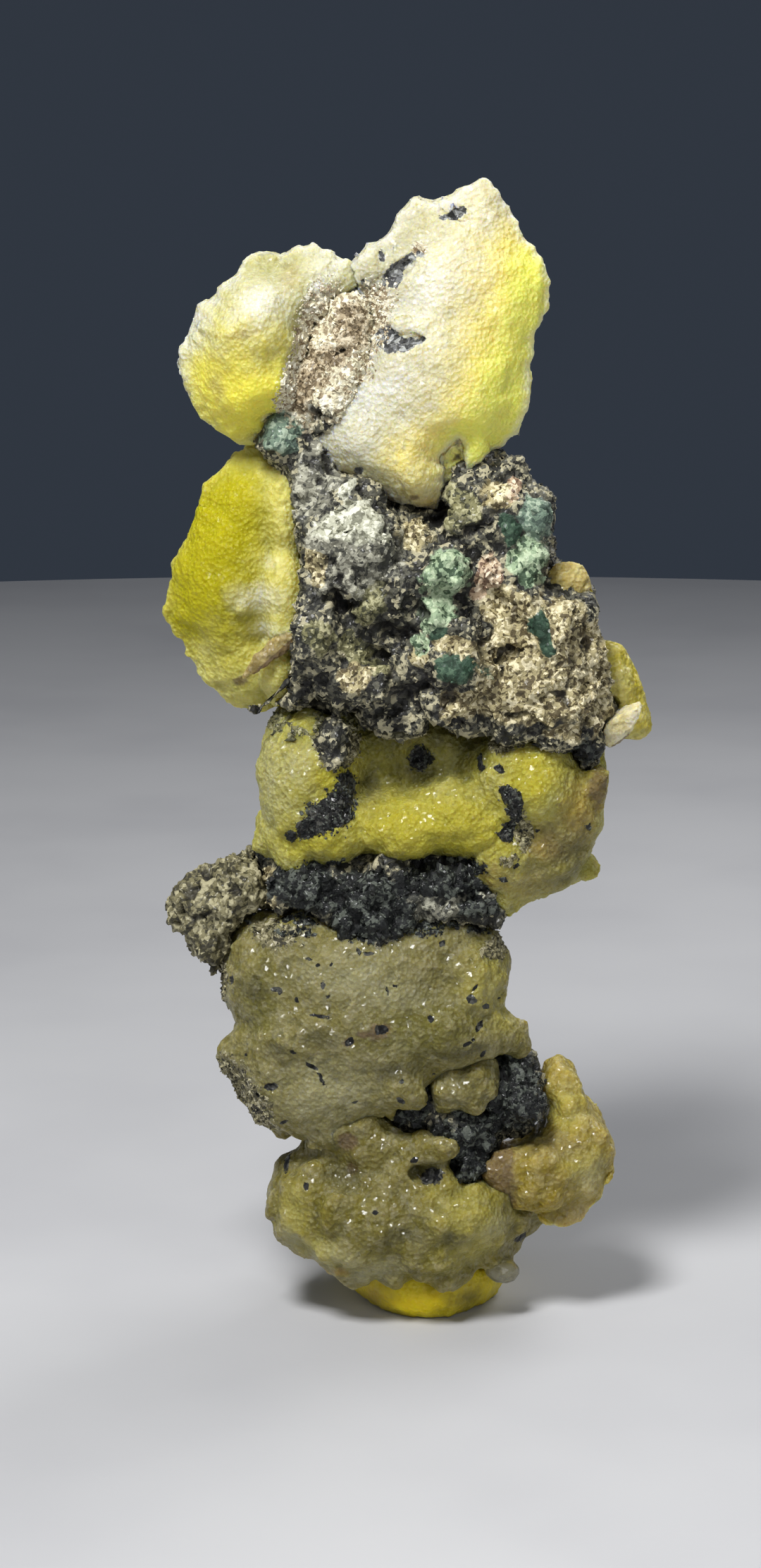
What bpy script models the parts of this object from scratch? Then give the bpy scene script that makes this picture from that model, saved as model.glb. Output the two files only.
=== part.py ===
"""A brucite specimen: waxy yellow lobes that grew on a dark, green-spotted host rock.

The piece stands upright on the flat cut of its lowest lobe, at z = 0. X runs to the right, Y to
the back and Z up. Lengths in the tables are millimetres, and the scene itself is in metres.
"""

import math
import random

import bmesh
import bpy
from mathutils import Euler, Matrix, Vector
from mathutils.bvhtree import BVHTree

MM = 0.001
OBJECT_NAME = "brucite_specimen"

FOOT_MIDDLE = (0.5, 1.5, 3.0)     # middle of the lowest lobe before its cut
FOOT_RADII = (9.0, 12.5, 5.5)     # its half sizes, so the flat it stands on is 15 x 20 mm
FOOT_DOME = ((-1, -6.6, 2.6), (3.4, 4, 2.8))
SEAM = 0.36                       # gap between two pieces that grew against each other
VOXEL = 0.9                       # cell size that melts a piece's lumps into one body
SLIVER = 0.03                     # a triangle or edge thinner than this is dissolved
SLIVER_ROUNDS = 3                 # how often that is repeated
SHARP_EDGE = 50.0                 # degrees; edges steeper than this stay crisp
BEYOND = 60.0                     # farther out than any part of the specimen

YELLOW = (0.72, 0.64, 0.10)
CREAM = (0.82, 0.79, 0.50)
OLIVE = (0.46, 0.43, 0.19)
TAN = (0.42, 0.38, 0.24)
DARK_ROCK = (0.11, 0.12, 0.10)
AMBER = (0.55, 0.40, 0.12)
WHITE = (0.86, 0.84, 0.72)


# ---------------------------------------------------------------- scene, materials


def clear_scene():
    """Removes whatever the scene holds, so that the specimen stands alone."""
    for old in list(bpy.data.objects):
        bpy.data.objects.remove(old, do_unlink=True)


def new_collection(name):
    collection = bpy.data.collections.new(name)
    bpy.context.scene.collection.children.link(collection)
    return collection


def new_material(name, color, roughness):
    """A plain Principled material for one piece."""
    material = bpy.data.materials.new(name)
    material.use_nodes = True
    shader = material.node_tree.nodes["Principled BSDF"]
    shader.inputs["Base Color"].default_value = (*color, 1.0)
    shader.inputs["Roughness"].default_value = roughness
    shader.inputs["Metallic"].default_value = 0.0
    return material


# ---------------------------------------------------------------- lumps, grains, plates


def add_lump(shape, middle, radii, turn=(0, 0, 0), detail=3):
    """Adds one ellipsoid; turn is in degrees about X, Y and Z."""
    spin = Euler([math.radians(angle) for angle in turn]).to_matrix().to_4x4()
    place = Matrix.Translation(Vector(middle) * MM)
    size = Matrix.Diagonal((*(radius * MM for radius in radii), 1.0))
    bmesh.ops.create_icosphere(shape, subdivisions=detail, radius=1.0, matrix=place @ spin @ size)


def add_lumps(shape, table):
    for middle, radii in table:
        add_lump(shape, middle, radii)


def add_grains(shape, table, count, sizes, seed):
    """Sets small round grains half into the surfaces of the lumps of a table."""
    chance = random.Random(seed)
    for _ in range(count):
        middle, radii = chance.choice(table)
        way = Vector([chance.gauss(0, 1) for _ in range(3)]).normalized()
        at = [middle[axis] + way[axis] * radii[axis] for axis in range(3)]
        radius = chance.uniform(*sizes)
        add_lump(shape, at, [radius * chance.uniform(0.75, 1.25) for _ in range(3)], detail=2)


def smooth_outline(name, outline, thickness, rim):
    """A flat curve object: the closed outline, filled, with half-round edges."""
    curve = bpy.data.curves.new(name, "CURVE")
    curve.dimensions = "2D"
    curve.fill_mode = "BOTH"
    curve.resolution_u = 3
    curve.extrude = (thickness / 2 - rim) * MM
    curve.bevel_depth = rim * MM
    curve.bevel_resolution = 2
    curve.offset = -rim * MM
    spline = curve.splines.new("BEZIER")
    spline.bezier_points.add(len(outline) - 1)
    spline.use_cyclic_u = True
    for point, (across, up) in zip(spline.bezier_points, outline):
        point.co = (across * MM, up * MM, 0.0)
        point.handle_left_type = "AUTO"
        point.handle_right_type = "AUTO"
    guide = bpy.data.objects.new(name, curve)
    bpy.context.scene.collection.objects.link(guide)
    return guide


def add_plate(shape, outline, middle_y, thickness, rim, lean=0.0, swing=0.0):
    """Adds a slab with a rounded rim, standing in the XZ plane.

    The lean tips its top to the back and the swing turns its right side to the back, both in
    degrees about the middle of the outline.
    """
    guide = smooth_outline("plate_outline", outline, thickness, rim)
    mesh = finished_mesh(guide)
    bpy.data.objects.remove(guide)
    middle = Vector((
        sum(across for across, _ in outline) / len(outline) * MM,
        middle_y * MM,
        sum(up for _, up in outline) / len(outline) * MM,
    ))
    upright = Matrix.Rotation(math.radians(90), 4, "X")
    flat = Matrix.Translation((0, middle.y, 0)) @ upright
    tip = Matrix.Rotation(math.radians(swing), 4, "Z") @ Matrix.Rotation(math.radians(-lean), 4, "X")
    mesh.transform(Matrix.Translation(middle) @ tip @ Matrix.Translation(-middle) @ flat)
    shape.from_mesh(mesh)
    bpy.data.meshes.remove(mesh)


# ---------------------------------------------------------------- from lumps to one body


def finished_mesh(obj):
    """A copy of the object's mesh with all its modifiers applied."""
    bpy.context.view_layer.update()
    graph = bpy.context.evaluated_depsgraph_get()
    return bpy.data.meshes.new_from_object(obj.evaluated_get(graph))


def apply_modifiers(obj):
    mesh = finished_mesh(obj)
    obj.modifiers.clear()
    obj.data = mesh


def make_object(name, shape, collection):
    mesh = bpy.data.meshes.new(name)
    bmesh.ops.recalc_face_normals(shape, faces=shape.faces)
    shape.to_mesh(mesh)
    shape.free()
    obj = bpy.data.objects.new(name, mesh)
    collection.objects.link(obj)
    return obj


def body_of(first):
    """All faces that hang together with the first one across a clean edge."""
    body = {first}
    border = [first]
    while border:
        for edge in border.pop().edges:
            if len(edge.link_faces) == 2:
                near = set(edge.link_faces) - body
                body |= near
                border.extend(near)
    return body


def keep_largest_body(obj):
    """Drops the crumbs that a cut or a remesh leaves beside the main body."""
    shape = bmesh.new()
    shape.from_mesh(obj.data)
    unseen = set(shape.faces)
    bodies = []
    while unseen:
        body = body_of(next(iter(unseen)))
        unseen -= body
        bodies.append(body)
    bodies.sort(key=len)
    crumbs = [face for body in bodies[:-1] for face in body]
    bmesh.ops.delete(shape, geom=crumbs, context="FACES")
    shape.to_mesh(obj.data)
    shape.free()


def roughen(obj, name, grain, strength):
    """Pushes the surface in and out by a cloud pattern with lumps of the given size."""
    clouds = bpy.data.textures.new(name, "CLOUDS")
    clouds.noise_scale = grain * MM
    clouds.noise_depth = 1
    displace = obj.modifiers.new(name, "DISPLACE")
    displace.texture = clouds
    displace.strength = strength * MM
    displace.mid_level = 0.5


def melt(obj, triangles, grain, strength, voxel=VOXEL, softness=3):
    """Joins the overlapping lumps into one skin, roughens it and thins its triangles."""
    remesh = obj.modifiers.new("one_body", "REMESH")
    remesh.mode = "VOXEL"
    remesh.voxel_size = voxel * MM
    soften = obj.modifiers.new("soften", "SMOOTH")
    soften.factor = 0.5
    soften.iterations = softness
    roughen(obj, obj.name + "_clouds", grain, strength)
    apply_modifiers(obj)
    keep_largest_body(obj)
    thin = obj.modifiers.new("thin", "DECIMATE")
    thin.ratio = min(1.0, triangles / (2 * len(obj.data.polygons)))
    apply_modifiers(obj)
    keep_largest_body(obj)


def cut(obj, cutter):
    boolean = obj.modifiers.new("cut_" + cutter.name, "BOOLEAN")
    boolean.operation = "DIFFERENCE"
    boolean.solver = "EXACT"
    boolean.use_self = True
    boolean.object = cutter
    apply_modifiers(obj)


def grown_copy(obj, gap, cutters):
    """A cutter with the piece's own shape, thicker by the gap all round."""
    cutter = bpy.data.objects.new("room_for_" + obj.name, obj.data.copy())
    cutters.objects.link(cutter)
    thicken = cutter.modifiers.new("thicken", "DISPLACE")
    thicken.strength = gap * MM
    thicken.mid_level = 0.0
    apply_modifiers(cutter)
    cutter.hide_render = True
    cutter.display_type = "WIRE"
    return cutter


def box_of(obj):
    corners = [vert.co for vert in obj.data.vertices]
    low = [min(corner[axis] for corner in corners) for axis in range(3)]
    high = [max(corner[axis] for corner in corners) for axis in range(3)]
    return low, high


def boxes_meet(first, second):
    (low_a, high_a), (low_b, high_b) = box_of(first), box_of(second)
    return all(low_a[axis] < high_b[axis] and low_b[axis] < high_a[axis] for axis in range(3))


def clear_slivers(obj):
    """Dissolves the needle-thin triangles that a cut leaves along its rim."""
    shape = bmesh.new()
    shape.from_mesh(obj.data)
    bmesh.ops.triangulate(shape, faces=shape.faces)
    for _ in range(SLIVER_ROUNDS):
        bmesh.ops.dissolve_degenerate(shape, dist=SLIVER * MM, edges=shape.edges)
        bmesh.ops.triangulate(shape, faces=shape.faces)
    shape.to_mesh(obj.data)
    shape.free()


def cut_free(obj, rooms):
    """Cuts room for every earlier piece that this one grew against."""
    for room in rooms:
        if boxes_meet(obj, room):
            cut(obj, room)
    clear_slivers(obj)
    keep_largest_body(obj)


def front_of(obj, across, up):
    """How far back the front surface lies at a place, in millimetres."""
    tree = BVHTree.FromPolygons(
        [vert.co for vert in obj.data.vertices],
        [face.vertices for face in obj.data.polygons],
    )
    before = Vector((across, -BEYOND, up)) * MM
    return tree.ray_cast(before, Vector((0, 1, 0)))[0].y / MM


def carve_pits(obj, pits, cutters):
    """Cuts hollows into the front; a pit has a place, its half sizes and a turn about Y."""
    for number, (across, up, radii, turn) in enumerate(pits):
        shape = bmesh.new()
        middle = (across, front_of(obj, across, up), up)
        add_lump(shape, middle, radii, turn=(0, turn, 0), detail=1)
        pit = make_object(f"{obj.name}_pit_{number}", shape, cutters)
        pit.hide_render = True
        pit.display_type = "WIRE"
        cut(obj, pit)
    keep_largest_body(obj)


# ---------------------------------------------------------------- the host rock


ROCK_MASS = [
    # middle            half sizes
    ((0.5, 0, 76), (13, 12, 12)),
    ((-8, -6, 82.5), (6.5, 8, 5)),        # pale granular dome at the front
    ((-10.5, -5, 75), (5, 9, 9)),
    ((7, -4, 84), (6, 8, 6)),             # knob at the upper right
    ((8.5, -2, 77), (5, 10, 6)),
    ((12, -3, 72.5), (5, 9.5, 4)),
    ((10.5, -3, 68), (7.5, 10.5, 5.5)),
    ((3, -5, 71), (7, 10, 6)),
    ((-7, -4, 69), (7, 10, 4)),
    ((14.5, -3, 66), (3.5, 6.5, 4.5)),
]
ROCK_NECK = [
    ((-11.5, -3, 89), (3.5, 6.5, 5)),
    ((-14.3, -4.5, 93), (2.4, 4.5, 2.4)),
    ((-8.3, -3, 100.5), (4, 7, 8)),       # brown crust between the two upper lobes
    ((-9.5, -3.5, 97), (3, 6.5, 4.5)),
    ((-2, 4, 92), (9, 6, 7)),
]
ROCK_SPINE = [
    ((0, 4, 58), (12, 8, 13)),
    ((-6, 5, 35), (11, 7.5, 14)),
    ((0, 5, 23), (7.5, 7.5, 10)),
    ((-1, 3, 12), (8, 7, 6)),
]
ROCK_BACK = [
    ((-6, 9, 80), (6, 5, 5)),
    ((6, 10, 74), (5, 4, 6)),
    ((-3, 10.5, 64), (7, 4, 4.5)),
    ((7, 8.5, 56), (5, 5, 6)),
    ((-8, 9, 52), (5, 5, 4.5)),
    ((-1, 11, 44), (6, 4, 5)),
    ((-11, 9.5, 38), (5, 4.5, 6)),
    ((-4, 11, 30), (5, 4, 5)),
    ((3, 10, 24), (4, 4.5, 5)),
]
ROCK_BAND = [
    ((-10, -2, 47.5), (8, 8.5, 4)),
    ((-3, -2, 46), (8, 9.5, 5)),
    ((3.5, -2, 47), (4.8, 8.5, 4.5)),
]
ROCK_WEB = [
    ((-1, -5, 23.5), (3.5, 6.5, 3.5)),
    ((4, -5, 21), (5, 6.5, 3.5)),
    ((9.4, -4.5, 25), (3.3, 6.5, 4.2)),
    ((6.8, -4, 21.5), (3.4, 6, 3)),
    ((4, -4, 17.5), (2.8, 6, 3.5)),
]
GREEN_GRAINS = [
    ((3.5, -14, 70.5), (2.3, 1.6, 1.9)),
    ((0.5, -12.5, 75.5), (1.8, 1.6, 1.7)),
    ((2.5, -13, 80.5), (2.2, 2, 1.6)),
    ((11.5, -11.5, 75), (1.5, 1.6, 2.8)),
    ((11.5, -8, 85), (1.6, 4, 2.6)),
    ((9.5, -10, 80), (2.2, 2, 1.8)),
]
ROCK_PITS = [
    # across, up, half sizes, turn: crevices between the lumps of the front
    (1.0, 85.5, (1.5, 2.5, 2.2), 10),
    (-1.2, 76.0, (1.2, 2.2, 2.4), -15),
    (-8.5, 77.0, (2.4, 1.8, 1.1), 20),
    (7.6, 77.0, (1.1, 2.0, 2.0), 0),
    (-4.5, 71.5, (1.4, 1.8, 1.1), 30),
    (8.5, 71.8, (2.0, 1.8, 1.0), -20),
]
BLACK_KNOB = ((16.8, -7, 60.8), (1.9, 2.2, 1.9))
SPLINTER_ROOT = (-13, -10, 71.5)
SPLINTER_TIP = (-19, -9.5, 67.5)
SPLINTER_WIDTH = 1.7
SPLINTER_POINT = 0.3
SPLINTER_FLATNESS = 0.7
SPLINTER_BURIED = 1.2             # its root runs on into the rock by this share


def add_splinter(shape):
    """The flat shard of rock that points across the yellow fan."""
    root = Vector(SPLINTER_ROOT) * MM
    reach = Vector(SPLINTER_TIP) * MM - root
    point_along = reach.to_track_quat("Z", "Y").to_matrix().to_4x4()
    flatten = Matrix.Diagonal((SPLINTER_FLATNESS, 1.0, 1.0, 1.0))
    bmesh.ops.create_cone(
        shape, cap_ends=True, segments=8, radius1=SPLINTER_WIDTH * MM,
        radius2=SPLINTER_POINT * MM, depth=reach.length * SPLINTER_BURIED,
        matrix=Matrix.Translation(root + reach / 2) @ point_along @ flatten,
    )


def make_host_rock(parts, cutters):
    shape = bmesh.new()
    rough_parts = ROCK_MASS + ROCK_NECK + ROCK_BAND + ROCK_WEB
    add_lumps(shape, rough_parts + ROCK_SPINE + ROCK_BACK + GREEN_GRAINS + [BLACK_KNOB])
    add_grains(shape, ROCK_MASS, count=130, sizes=(1.7, 2.9), seed=3)
    add_grains(shape, rough_parts + ROCK_BACK, count=100, sizes=(1.5, 2.5), seed=5)
    add_splinter(shape)
    rock = make_object("host_rock", shape, parts)
    melt(rock, triangles=2350, grain=3.0, strength=0.6, voxel=0.8, softness=2)
    carve_pits(rock, ROCK_PITS, cutters)
    return rock


# ---------------------------------------------------------------- the upper lobes


CROWN_OUTLINE = [
    (5.5, 119.5), (8, 117.5), (9.5, 114.5), (12.3, 110.5), (12.5, 107), (11.3, 102), (11, 97),
    (9.5, 93), (7, 91.8), (4, 89.6), (3.2, 91.5), (2.4, 89), (1.8, 86.8), (-1.5, 86.6),
    (-5, 88), (-8.5, 90), (-11.3, 93), (-10, 96.5), (-7, 101.5), (-6.5, 107), (-7.5, 110.5),
    (-4.5, 113), (-2, 116.8), (1, 117), (3.2, 118.4),
]
CROWN_DOMES = [
    ((4, -4.5, 107), (7.5, 5.5, 9)),
    ((1, -6.5, 99), (8.5, 5.5, 8)),
    ((7, -4, 99), (4, 5, 7.5)),
    ((-6, -6.5, 93.5), (4.5, 4.5, 3)),
    ((-0.5, -8, 89.5), (3, 4, 3.2)),      # tongue that hangs over the rock
    ((-2, -4, 110.5), (3.5, 4, 3.5)),
    ((5.5, -3, 114.5), (2.4, 3.6, 3.6)),
]
CROWN_RIM = [
    ((-6, -4, 111), (1.7, 2.6, 1.6)),
    ((-3.6, -4, 114), (1.6, 2.4, 1.6)),
    ((-0.7, -3.5, 116.8), (1.8, 2.6, 1.4)),
    ((3.8, -3, 118), (1.8, 2.6, 1.6)),
    ((8.8, -3, 115.6), (1.2, 2.4, 1.8)),
    ((11.6, -3.5, 108.8), (1.6, 2.8, 2.4)),
    ((10.8, -4, 98), (1.3, 2.6, 2.6)),
    ((9, -4, 93.4), (1.6, 2.6, 1.6)),
]
CROWN_PITS = [
    # across, up, half sizes, turn
    (3.5, 115.3, (1.3, 1.4, 0.9), -10),
    (-2.5, 110, (2.4, 1.5, 0.9), -33),
    (-2.2, 103.7, (3.0, 1.7, 0.9), 4),
]


def make_crown_lobe(parts, cutters):
    shape = bmesh.new()
    add_plate(shape, CROWN_OUTLINE, middle_y=-4.5, thickness=8, rim=3, lean=5)
    add_lumps(shape, CROWN_DOMES + CROWN_RIM)
    crown = make_object("crown_lobe", shape, parts)
    melt(crown, triangles=500, grain=4.0, strength=0.7)
    carve_pits(crown, CROWN_PITS, cutters)
    return crown


SHOULDER_OUTLINE = [
    (-16.5, 111.5), (-14, 111.2), (-11.5, 112.3), (-8.5, 111.3), (-7, 109.5), (-8.5, 106.5),
    (-11.5, 102), (-12, 97.5), (-12.5, 94.6), (-15, 94.8), (-17.5, 93.2), (-20.5, 94.5),
    (-23, 97), (-24.4, 101), (-23.4, 104.5), (-21, 107), (-18.6, 110),
]
SHOULDER_DOMES = [
    ((-17.5, -6, 104), (5.5, 6, 6.5)),
    ((-17.2, -5.5, 99), (5.2, 5.5, 4.6)),
    ((-13, -4.5, 107.5), (4, 5, 3.5)),
]
SHOULDER_RIM = [
    ((-16.7, -4, 110), (1.9, 2.6, 1.7)),
    ((-12, -4, 111), (2, 2.8, 1.6)),
    ((-8.6, -4, 110), (1.8, 2.6, 1.6)),
    ((-19.6, -4, 108), (1.6, 2.6, 1.6)),
    ((-22.6, -4, 105), (1.6, 2.6, 1.6)),
    ((-23.8, -4, 101.6), (1.2, 2.6, 1.8)),
]


def make_shoulder_lobe(parts):
    shape = bmesh.new()
    add_plate(shape, SHOULDER_OUTLINE, middle_y=-4, thickness=9, rim=3.5)
    add_lumps(shape, SHOULDER_DOMES + SHOULDER_RIM)
    shoulder = make_object("shoulder_lobe", shape, parts)
    melt(shoulder, triangles=340, grain=3.5, strength=0.7)
    return shoulder


FAN_OUTLINE = [
    (-14.5, 91.5), (-17, 92), (-19.5, 90.5), (-22.8, 86.8), (-23.8, 82.5), (-25.4, 79.5),
    (-26.6, 76), (-25.3, 72.2), (-22.8, 69), (-20.5, 65.8), (-18, 64.3), (-14.5, 65.5),
    (-12.5, 70), (-11, 78), (-11.5, 86),
]
FAN_DOMES = [
    ((-19.5, -3.5, 78.5), (5.5, 5, 8.5)),
    ((-17.5, -3, 86), (4.5, 4.2, 4.5)),
    ((-18.5, -2.5, 69.5), (4.5, 4.2, 4)),
    ((-23, -2, 76), (2.8, 3.6, 4)),
    ((-18.6, -8, 75.8), (1.3, 1.2, 1)),
]
FAN_RIM = [
    ((-21.2, -2, 88.2), (1.3, 2.4, 1.6)),
    ((-24.4, -2, 80.6), (1.2, 2.4, 1.6)),
    ((-25.6, -2, 75), (1.2, 2.4, 2)),
    ((-23.6, -2, 70.8), (1.3, 2.4, 1.6)),
    ((-19.6, -2, 65.8), (1.6, 2.4, 1.2)),
]


def make_fan_lobe(parts):
    shape = bmesh.new()
    add_plate(shape, FAN_OUTLINE, middle_y=-2, thickness=7, rim=2.8)
    add_lumps(shape, FAN_DOMES + FAN_RIM)
    fan = make_object("fan_lobe", shape, parts)
    melt(fan, triangles=420, grain=4.0, strength=0.6)
    return fan


# ---------------------------------------------------------------- small pieces at the right rim


FIN_OUTLINE = [
    (16, 70.5), (18, 71.3), (20.5, 71.3), (22, 68.5), (23.4, 65), (24, 62.5), (22.5, 61),
    (20, 61.3), (17, 62),
]
FIN_DOMES = [((20, -2.5, 66.5), (2.6, 2.6, 4))]
CHIP_OUTLINE = [
    (12, 77.5), (13.8, 79.9), (16.4, 80), (17.3, 77.5), (18, 74.5), (15.5, 73), (13, 74),
]
BLADE_OUTLINE = [
    (17.6, 61.6), (18.8, 64.6), (20.5, 65.6), (22.6, 65.6), (22.2, 64), (20, 61.8),
]


def make_rim_fin(parts):
    shape = bmesh.new()
    add_plate(shape, FIN_OUTLINE, middle_y=-1.5, thickness=5, rim=1.6, swing=12)
    add_lumps(shape, FIN_DOMES)
    fin = make_object("rim_fin", shape, parts)
    melt(fin, triangles=110, grain=3.0, strength=0.5)
    return fin


def make_rim_chip(parts):
    shape = bmesh.new()
    add_plate(shape, CHIP_OUTLINE, middle_y=-5, thickness=4.4, rim=1.2)
    chip = make_object("rim_chip", shape, parts)
    melt(chip, triangles=90, grain=2.0, strength=0.5)
    return chip


def make_white_blade(parts):
    """A thin, flat-faced blade that stands on edge in front of the fin."""
    shape = bmesh.new()
    add_plate(shape, BLADE_OUTLINE, middle_y=-6.4, thickness=2.6, rim=0.7, lean=-14)
    blade = make_object("white_blade", shape, parts)
    melt(blade, triangles=90, grain=2.0, strength=0.2, voxel=0.5, softness=1)
    return blade


# ---------------------------------------------------------------- the belt and the body


WAIST_LUMPS = [
    ((-11.3, -4, 60), (5.5, 8, 6)),
    ((-11.5, -4.5, 55), (5.3, 7.8, 4.8)),
    ((-14, -3, 51.5), (4, 6.5, 3)),
    ((-3, -4, 53.3), (7.5, 8, 3.8)),
    ((3.5, -4.5, 54), (7, 8, 4.6)),
    ((0, -2, 60.5), (9, 5.5, 5.5)),       # set back: the hollow of the belt
    ((9.5, -4, 58), (6.2, 8.5, 6)),
    ((14.3, -2, 57.5), (5.2, 8, 5.8)),
    ((11.8, -2.5, 49.3), (5.6, 7.5, 4.8)),
    ((8.4, -3, 46.3), (2.8, 6.5, 3.8)),
]
WAIST_PITS = [(-0.5, 60.5, (1.4, 1.5, 1.6), 0)]


def make_waist_lobes(parts, cutters):
    shape = bmesh.new()
    add_lumps(shape, WAIST_LUMPS)
    add_grains(shape, WAIST_LUMPS, count=26, sizes=(1.3, 2.2), seed=11)
    waist = make_object("waist_lobes", shape, parts)
    melt(waist, triangles=520, grain=4.0, strength=0.7)
    carve_pits(waist, WAIST_PITS, cutters)
    return waist


KNOB_LUMPS = [
    ((-22.3, -3, 43.4), (3.6, 5, 4.2)),
    ((-18.8, -3, 45.8), (4, 5.5, 3)),
    ((-24.2, -3, 43.2), (2.2, 3.2, 2.2)),
    ((-21.4, -3, 39.4), (2.2, 4, 2)),
]


def make_side_knob(parts):
    shape = bmesh.new()
    add_lumps(shape, KNOB_LUMPS)
    add_grains(shape, KNOB_LUMPS, count=34, sizes=(0.9, 1.5), seed=21)
    knob = make_object("side_knob", shape, parts)
    melt(knob, triangles=240, grain=1.6, strength=0.7, voxel=0.6, softness=1)
    return knob


BODY_LUMPS = [
    ((-6, -5, 38.5), (13, 9, 5.5)),
    ((-5, -6, 32.5), (13, 8.5, 6)),
    ((-16, -4, 36.5), (5.2, 7.5, 6.5)),
    ((-14.3, -5, 28.5), (5.5, 8, 6.5)),
    ((-11.5, -5, 24), (6, 8, 4.2)),
    ((-4.5, -7.5, 26.3), (4.5, 6, 3.8)),
    ((5, -6, 37.5), (4.3, 7, 5.2)),
    ((3.5, -7, 31), (6, 6.8, 3.6)),
    ((-17.3, -3, 25.5), (2.8, 5, 4.2)),
]


def make_body_crust(parts):
    shape = bmesh.new()
    add_lumps(shape, BODY_LUMPS)
    add_grains(shape, BODY_LUMPS, count=60, sizes=(1.4, 2.6), seed=31)
    body = make_object("body_crust", shape, parts)
    melt(body, triangles=550, grain=3.5, strength=0.7)
    return body


# ---------------------------------------------------------------- the lower lobes


POCKET_LUMPS = [
    ((4, -9, 25.6), (3.6, 4, 3)),
    ((5.6, -9, 27), (2, 3, 2)),
]


def make_pocket_lobe(parts):
    shape = bmesh.new()
    add_lumps(shape, POCKET_LUMPS)
    pocket = make_object("pocket_lobe", shape, parts)
    melt(pocket, triangles=120, grain=2.5, strength=0.5, voxel=0.7)
    return pocket


SIDE_OUTLINE = [
    (12.3, 25.4), (15.3, 26.1), (17.6, 23.8), (18.7, 20.5), (20.7, 16), (20, 12), (17.8, 8.6),
    (14.5, 7.6), (10.5, 9.2), (6.5, 11.6), (5.3, 14), (7.5, 16.8), (11.5, 18.5), (13.2, 20),
]
SIDE_DOMES = [
    ((14.5, -3.5, 13.6), (5.6, 6, 5.8)),
    ((16, -3, 20.5), (2.8, 4.5, 4.6)),
    ((9.3, -3.5, 13.8), (3.8, 4.6, 3.2)),
    ((17.3, -6, 15.5), (2.2, 3, 2)),
    ((13.5, -7, 10.2), (2.2, 2.6, 1.8)),
]


def make_side_lobe(parts):
    shape = bmesh.new()
    add_plate(shape, SIDE_OUTLINE, middle_y=-3, thickness=8.5, rim=3)
    add_lumps(shape, SIDE_DOMES)
    add_grains(shape, SIDE_DOMES[:3], count=30, sizes=(1.1, 1.9), seed=41)
    side = make_object("side_lobe", shape, parts)
    melt(side, triangles=420, grain=3.0, strength=0.7)
    return side


FOOT_CRUST_LUMPS = [
    ((-6, -4.5, 19.3), (6, 7.5, 4.2)),
    ((-0.3, -6.5, 19.5), (3, 5, 2.8)),
    ((-11, -5, 13), (5.6, 8, 5)),
    ((-12.2, -5, 9.8), (4, 7, 2.8)),
    ((-5, -6, 11.8), (8, 9, 6)),
    ((3, -6, 11.8), (7.2, 9, 5.5)),
    ((7.8, -4, 10.5), (3.6, 6.5, 4)),
    ((-6, -4.8, 7.6), (6.5, 9, 3.1)),
    ((2, -4.8, 7.8), (6, 9, 3.3)),
    ((8.2, -5.5, 6.2), (2.4, 3.4, 1.8)),  # clear bead under the right end
    ((-1, 6, 11), (10, 7.5, 5.5)),
]
FOOT_CRUST_PITS = [(0.3, 17.2, (2.3, 2.6, 1.4), -8)]


def make_foot_crust(parts, cutters):
    shape = bmesh.new()
    add_lumps(shape, FOOT_CRUST_LUMPS)
    add_grains(shape, FOOT_CRUST_LUMPS[:9], count=70, sizes=(1.2, 2.2), seed=51)
    foot = make_object("foot_crust", shape, parts)
    melt(foot, triangles=560, grain=3.0, strength=0.7)
    carve_pits(foot, FOOT_CRUST_PITS, cutters)
    return foot


def foot_cutter(cutters):
    """A block whose top face is the ground, z = 0."""
    shape = bmesh.new()
    middle = Matrix.Translation((0, 0, -BEYOND / 2 * MM))
    bmesh.ops.create_cube(shape, size=BEYOND * MM, matrix=middle)
    block = make_object("ground_cut", shape, cutters)
    block.hide_render = True
    block.display_type = "WIRE"
    return block


def make_foot_lobe(parts, cutters):
    shape = bmesh.new()
    add_lump(shape, FOOT_MIDDLE, FOOT_RADII)
    add_lump(shape, *FOOT_DOME)
    foot = make_object("foot_lobe", shape, parts)
    melt(foot, triangles=260, grain=5.0, strength=0.5)
    cut(foot, foot_cutter(cutters))
    keep_largest_body(foot)
    return foot


# ---------------------------------------------------------------- the whole specimen


def finish(obj, material):
    """Gives a piece its material and smooth shading."""
    obj.data.materials.clear()
    obj.data.materials.append(material)
    obj.data.shade_smooth()
    obj.data.set_sharp_from_angle(angle=math.radians(SHARP_EDGE))


def main():
    clear_scene()
    parts = new_collection(OBJECT_NAME)
    cutters = new_collection(OBJECT_NAME + "_cutters")
    cutters.hide_render = True
    # In the order of growth: a later piece gives way to every earlier one.
    pieces = [
        (make_host_rock(parts, cutters), DARK_ROCK, 0.85),
        (make_crown_lobe(parts, cutters), CREAM, 0.35),
        (make_shoulder_lobe(parts), CREAM, 0.35),
        (make_fan_lobe(parts), YELLOW, 0.35),
        (make_waist_lobes(parts, cutters), YELLOW, 0.4),
        (make_rim_fin(parts), YELLOW, 0.4),
        (make_rim_chip(parts), AMBER, 0.5),
        (make_white_blade(parts), WHITE, 0.35),
        (make_foot_lobe(parts, cutters), YELLOW, 0.3),
        (make_foot_crust(parts, cutters), OLIVE, 0.4),
        (make_side_lobe(parts), OLIVE, 0.4),
        (make_pocket_lobe(parts), OLIVE, 0.4),
        (make_body_crust(parts), OLIVE, 0.4),
        (make_side_knob(parts), TAN, 0.8),
    ]
    rooms = []
    for obj, color, roughness in pieces:
        cut_free(obj, rooms)
        finish(obj, new_material(obj.name + "_surface", color, roughness))
        rooms.append(grown_copy(obj, SEAM, cutters))
    print("triangles:", sum(len(obj.data.polygons) for obj, _, _ in pieces))


main()
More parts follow.
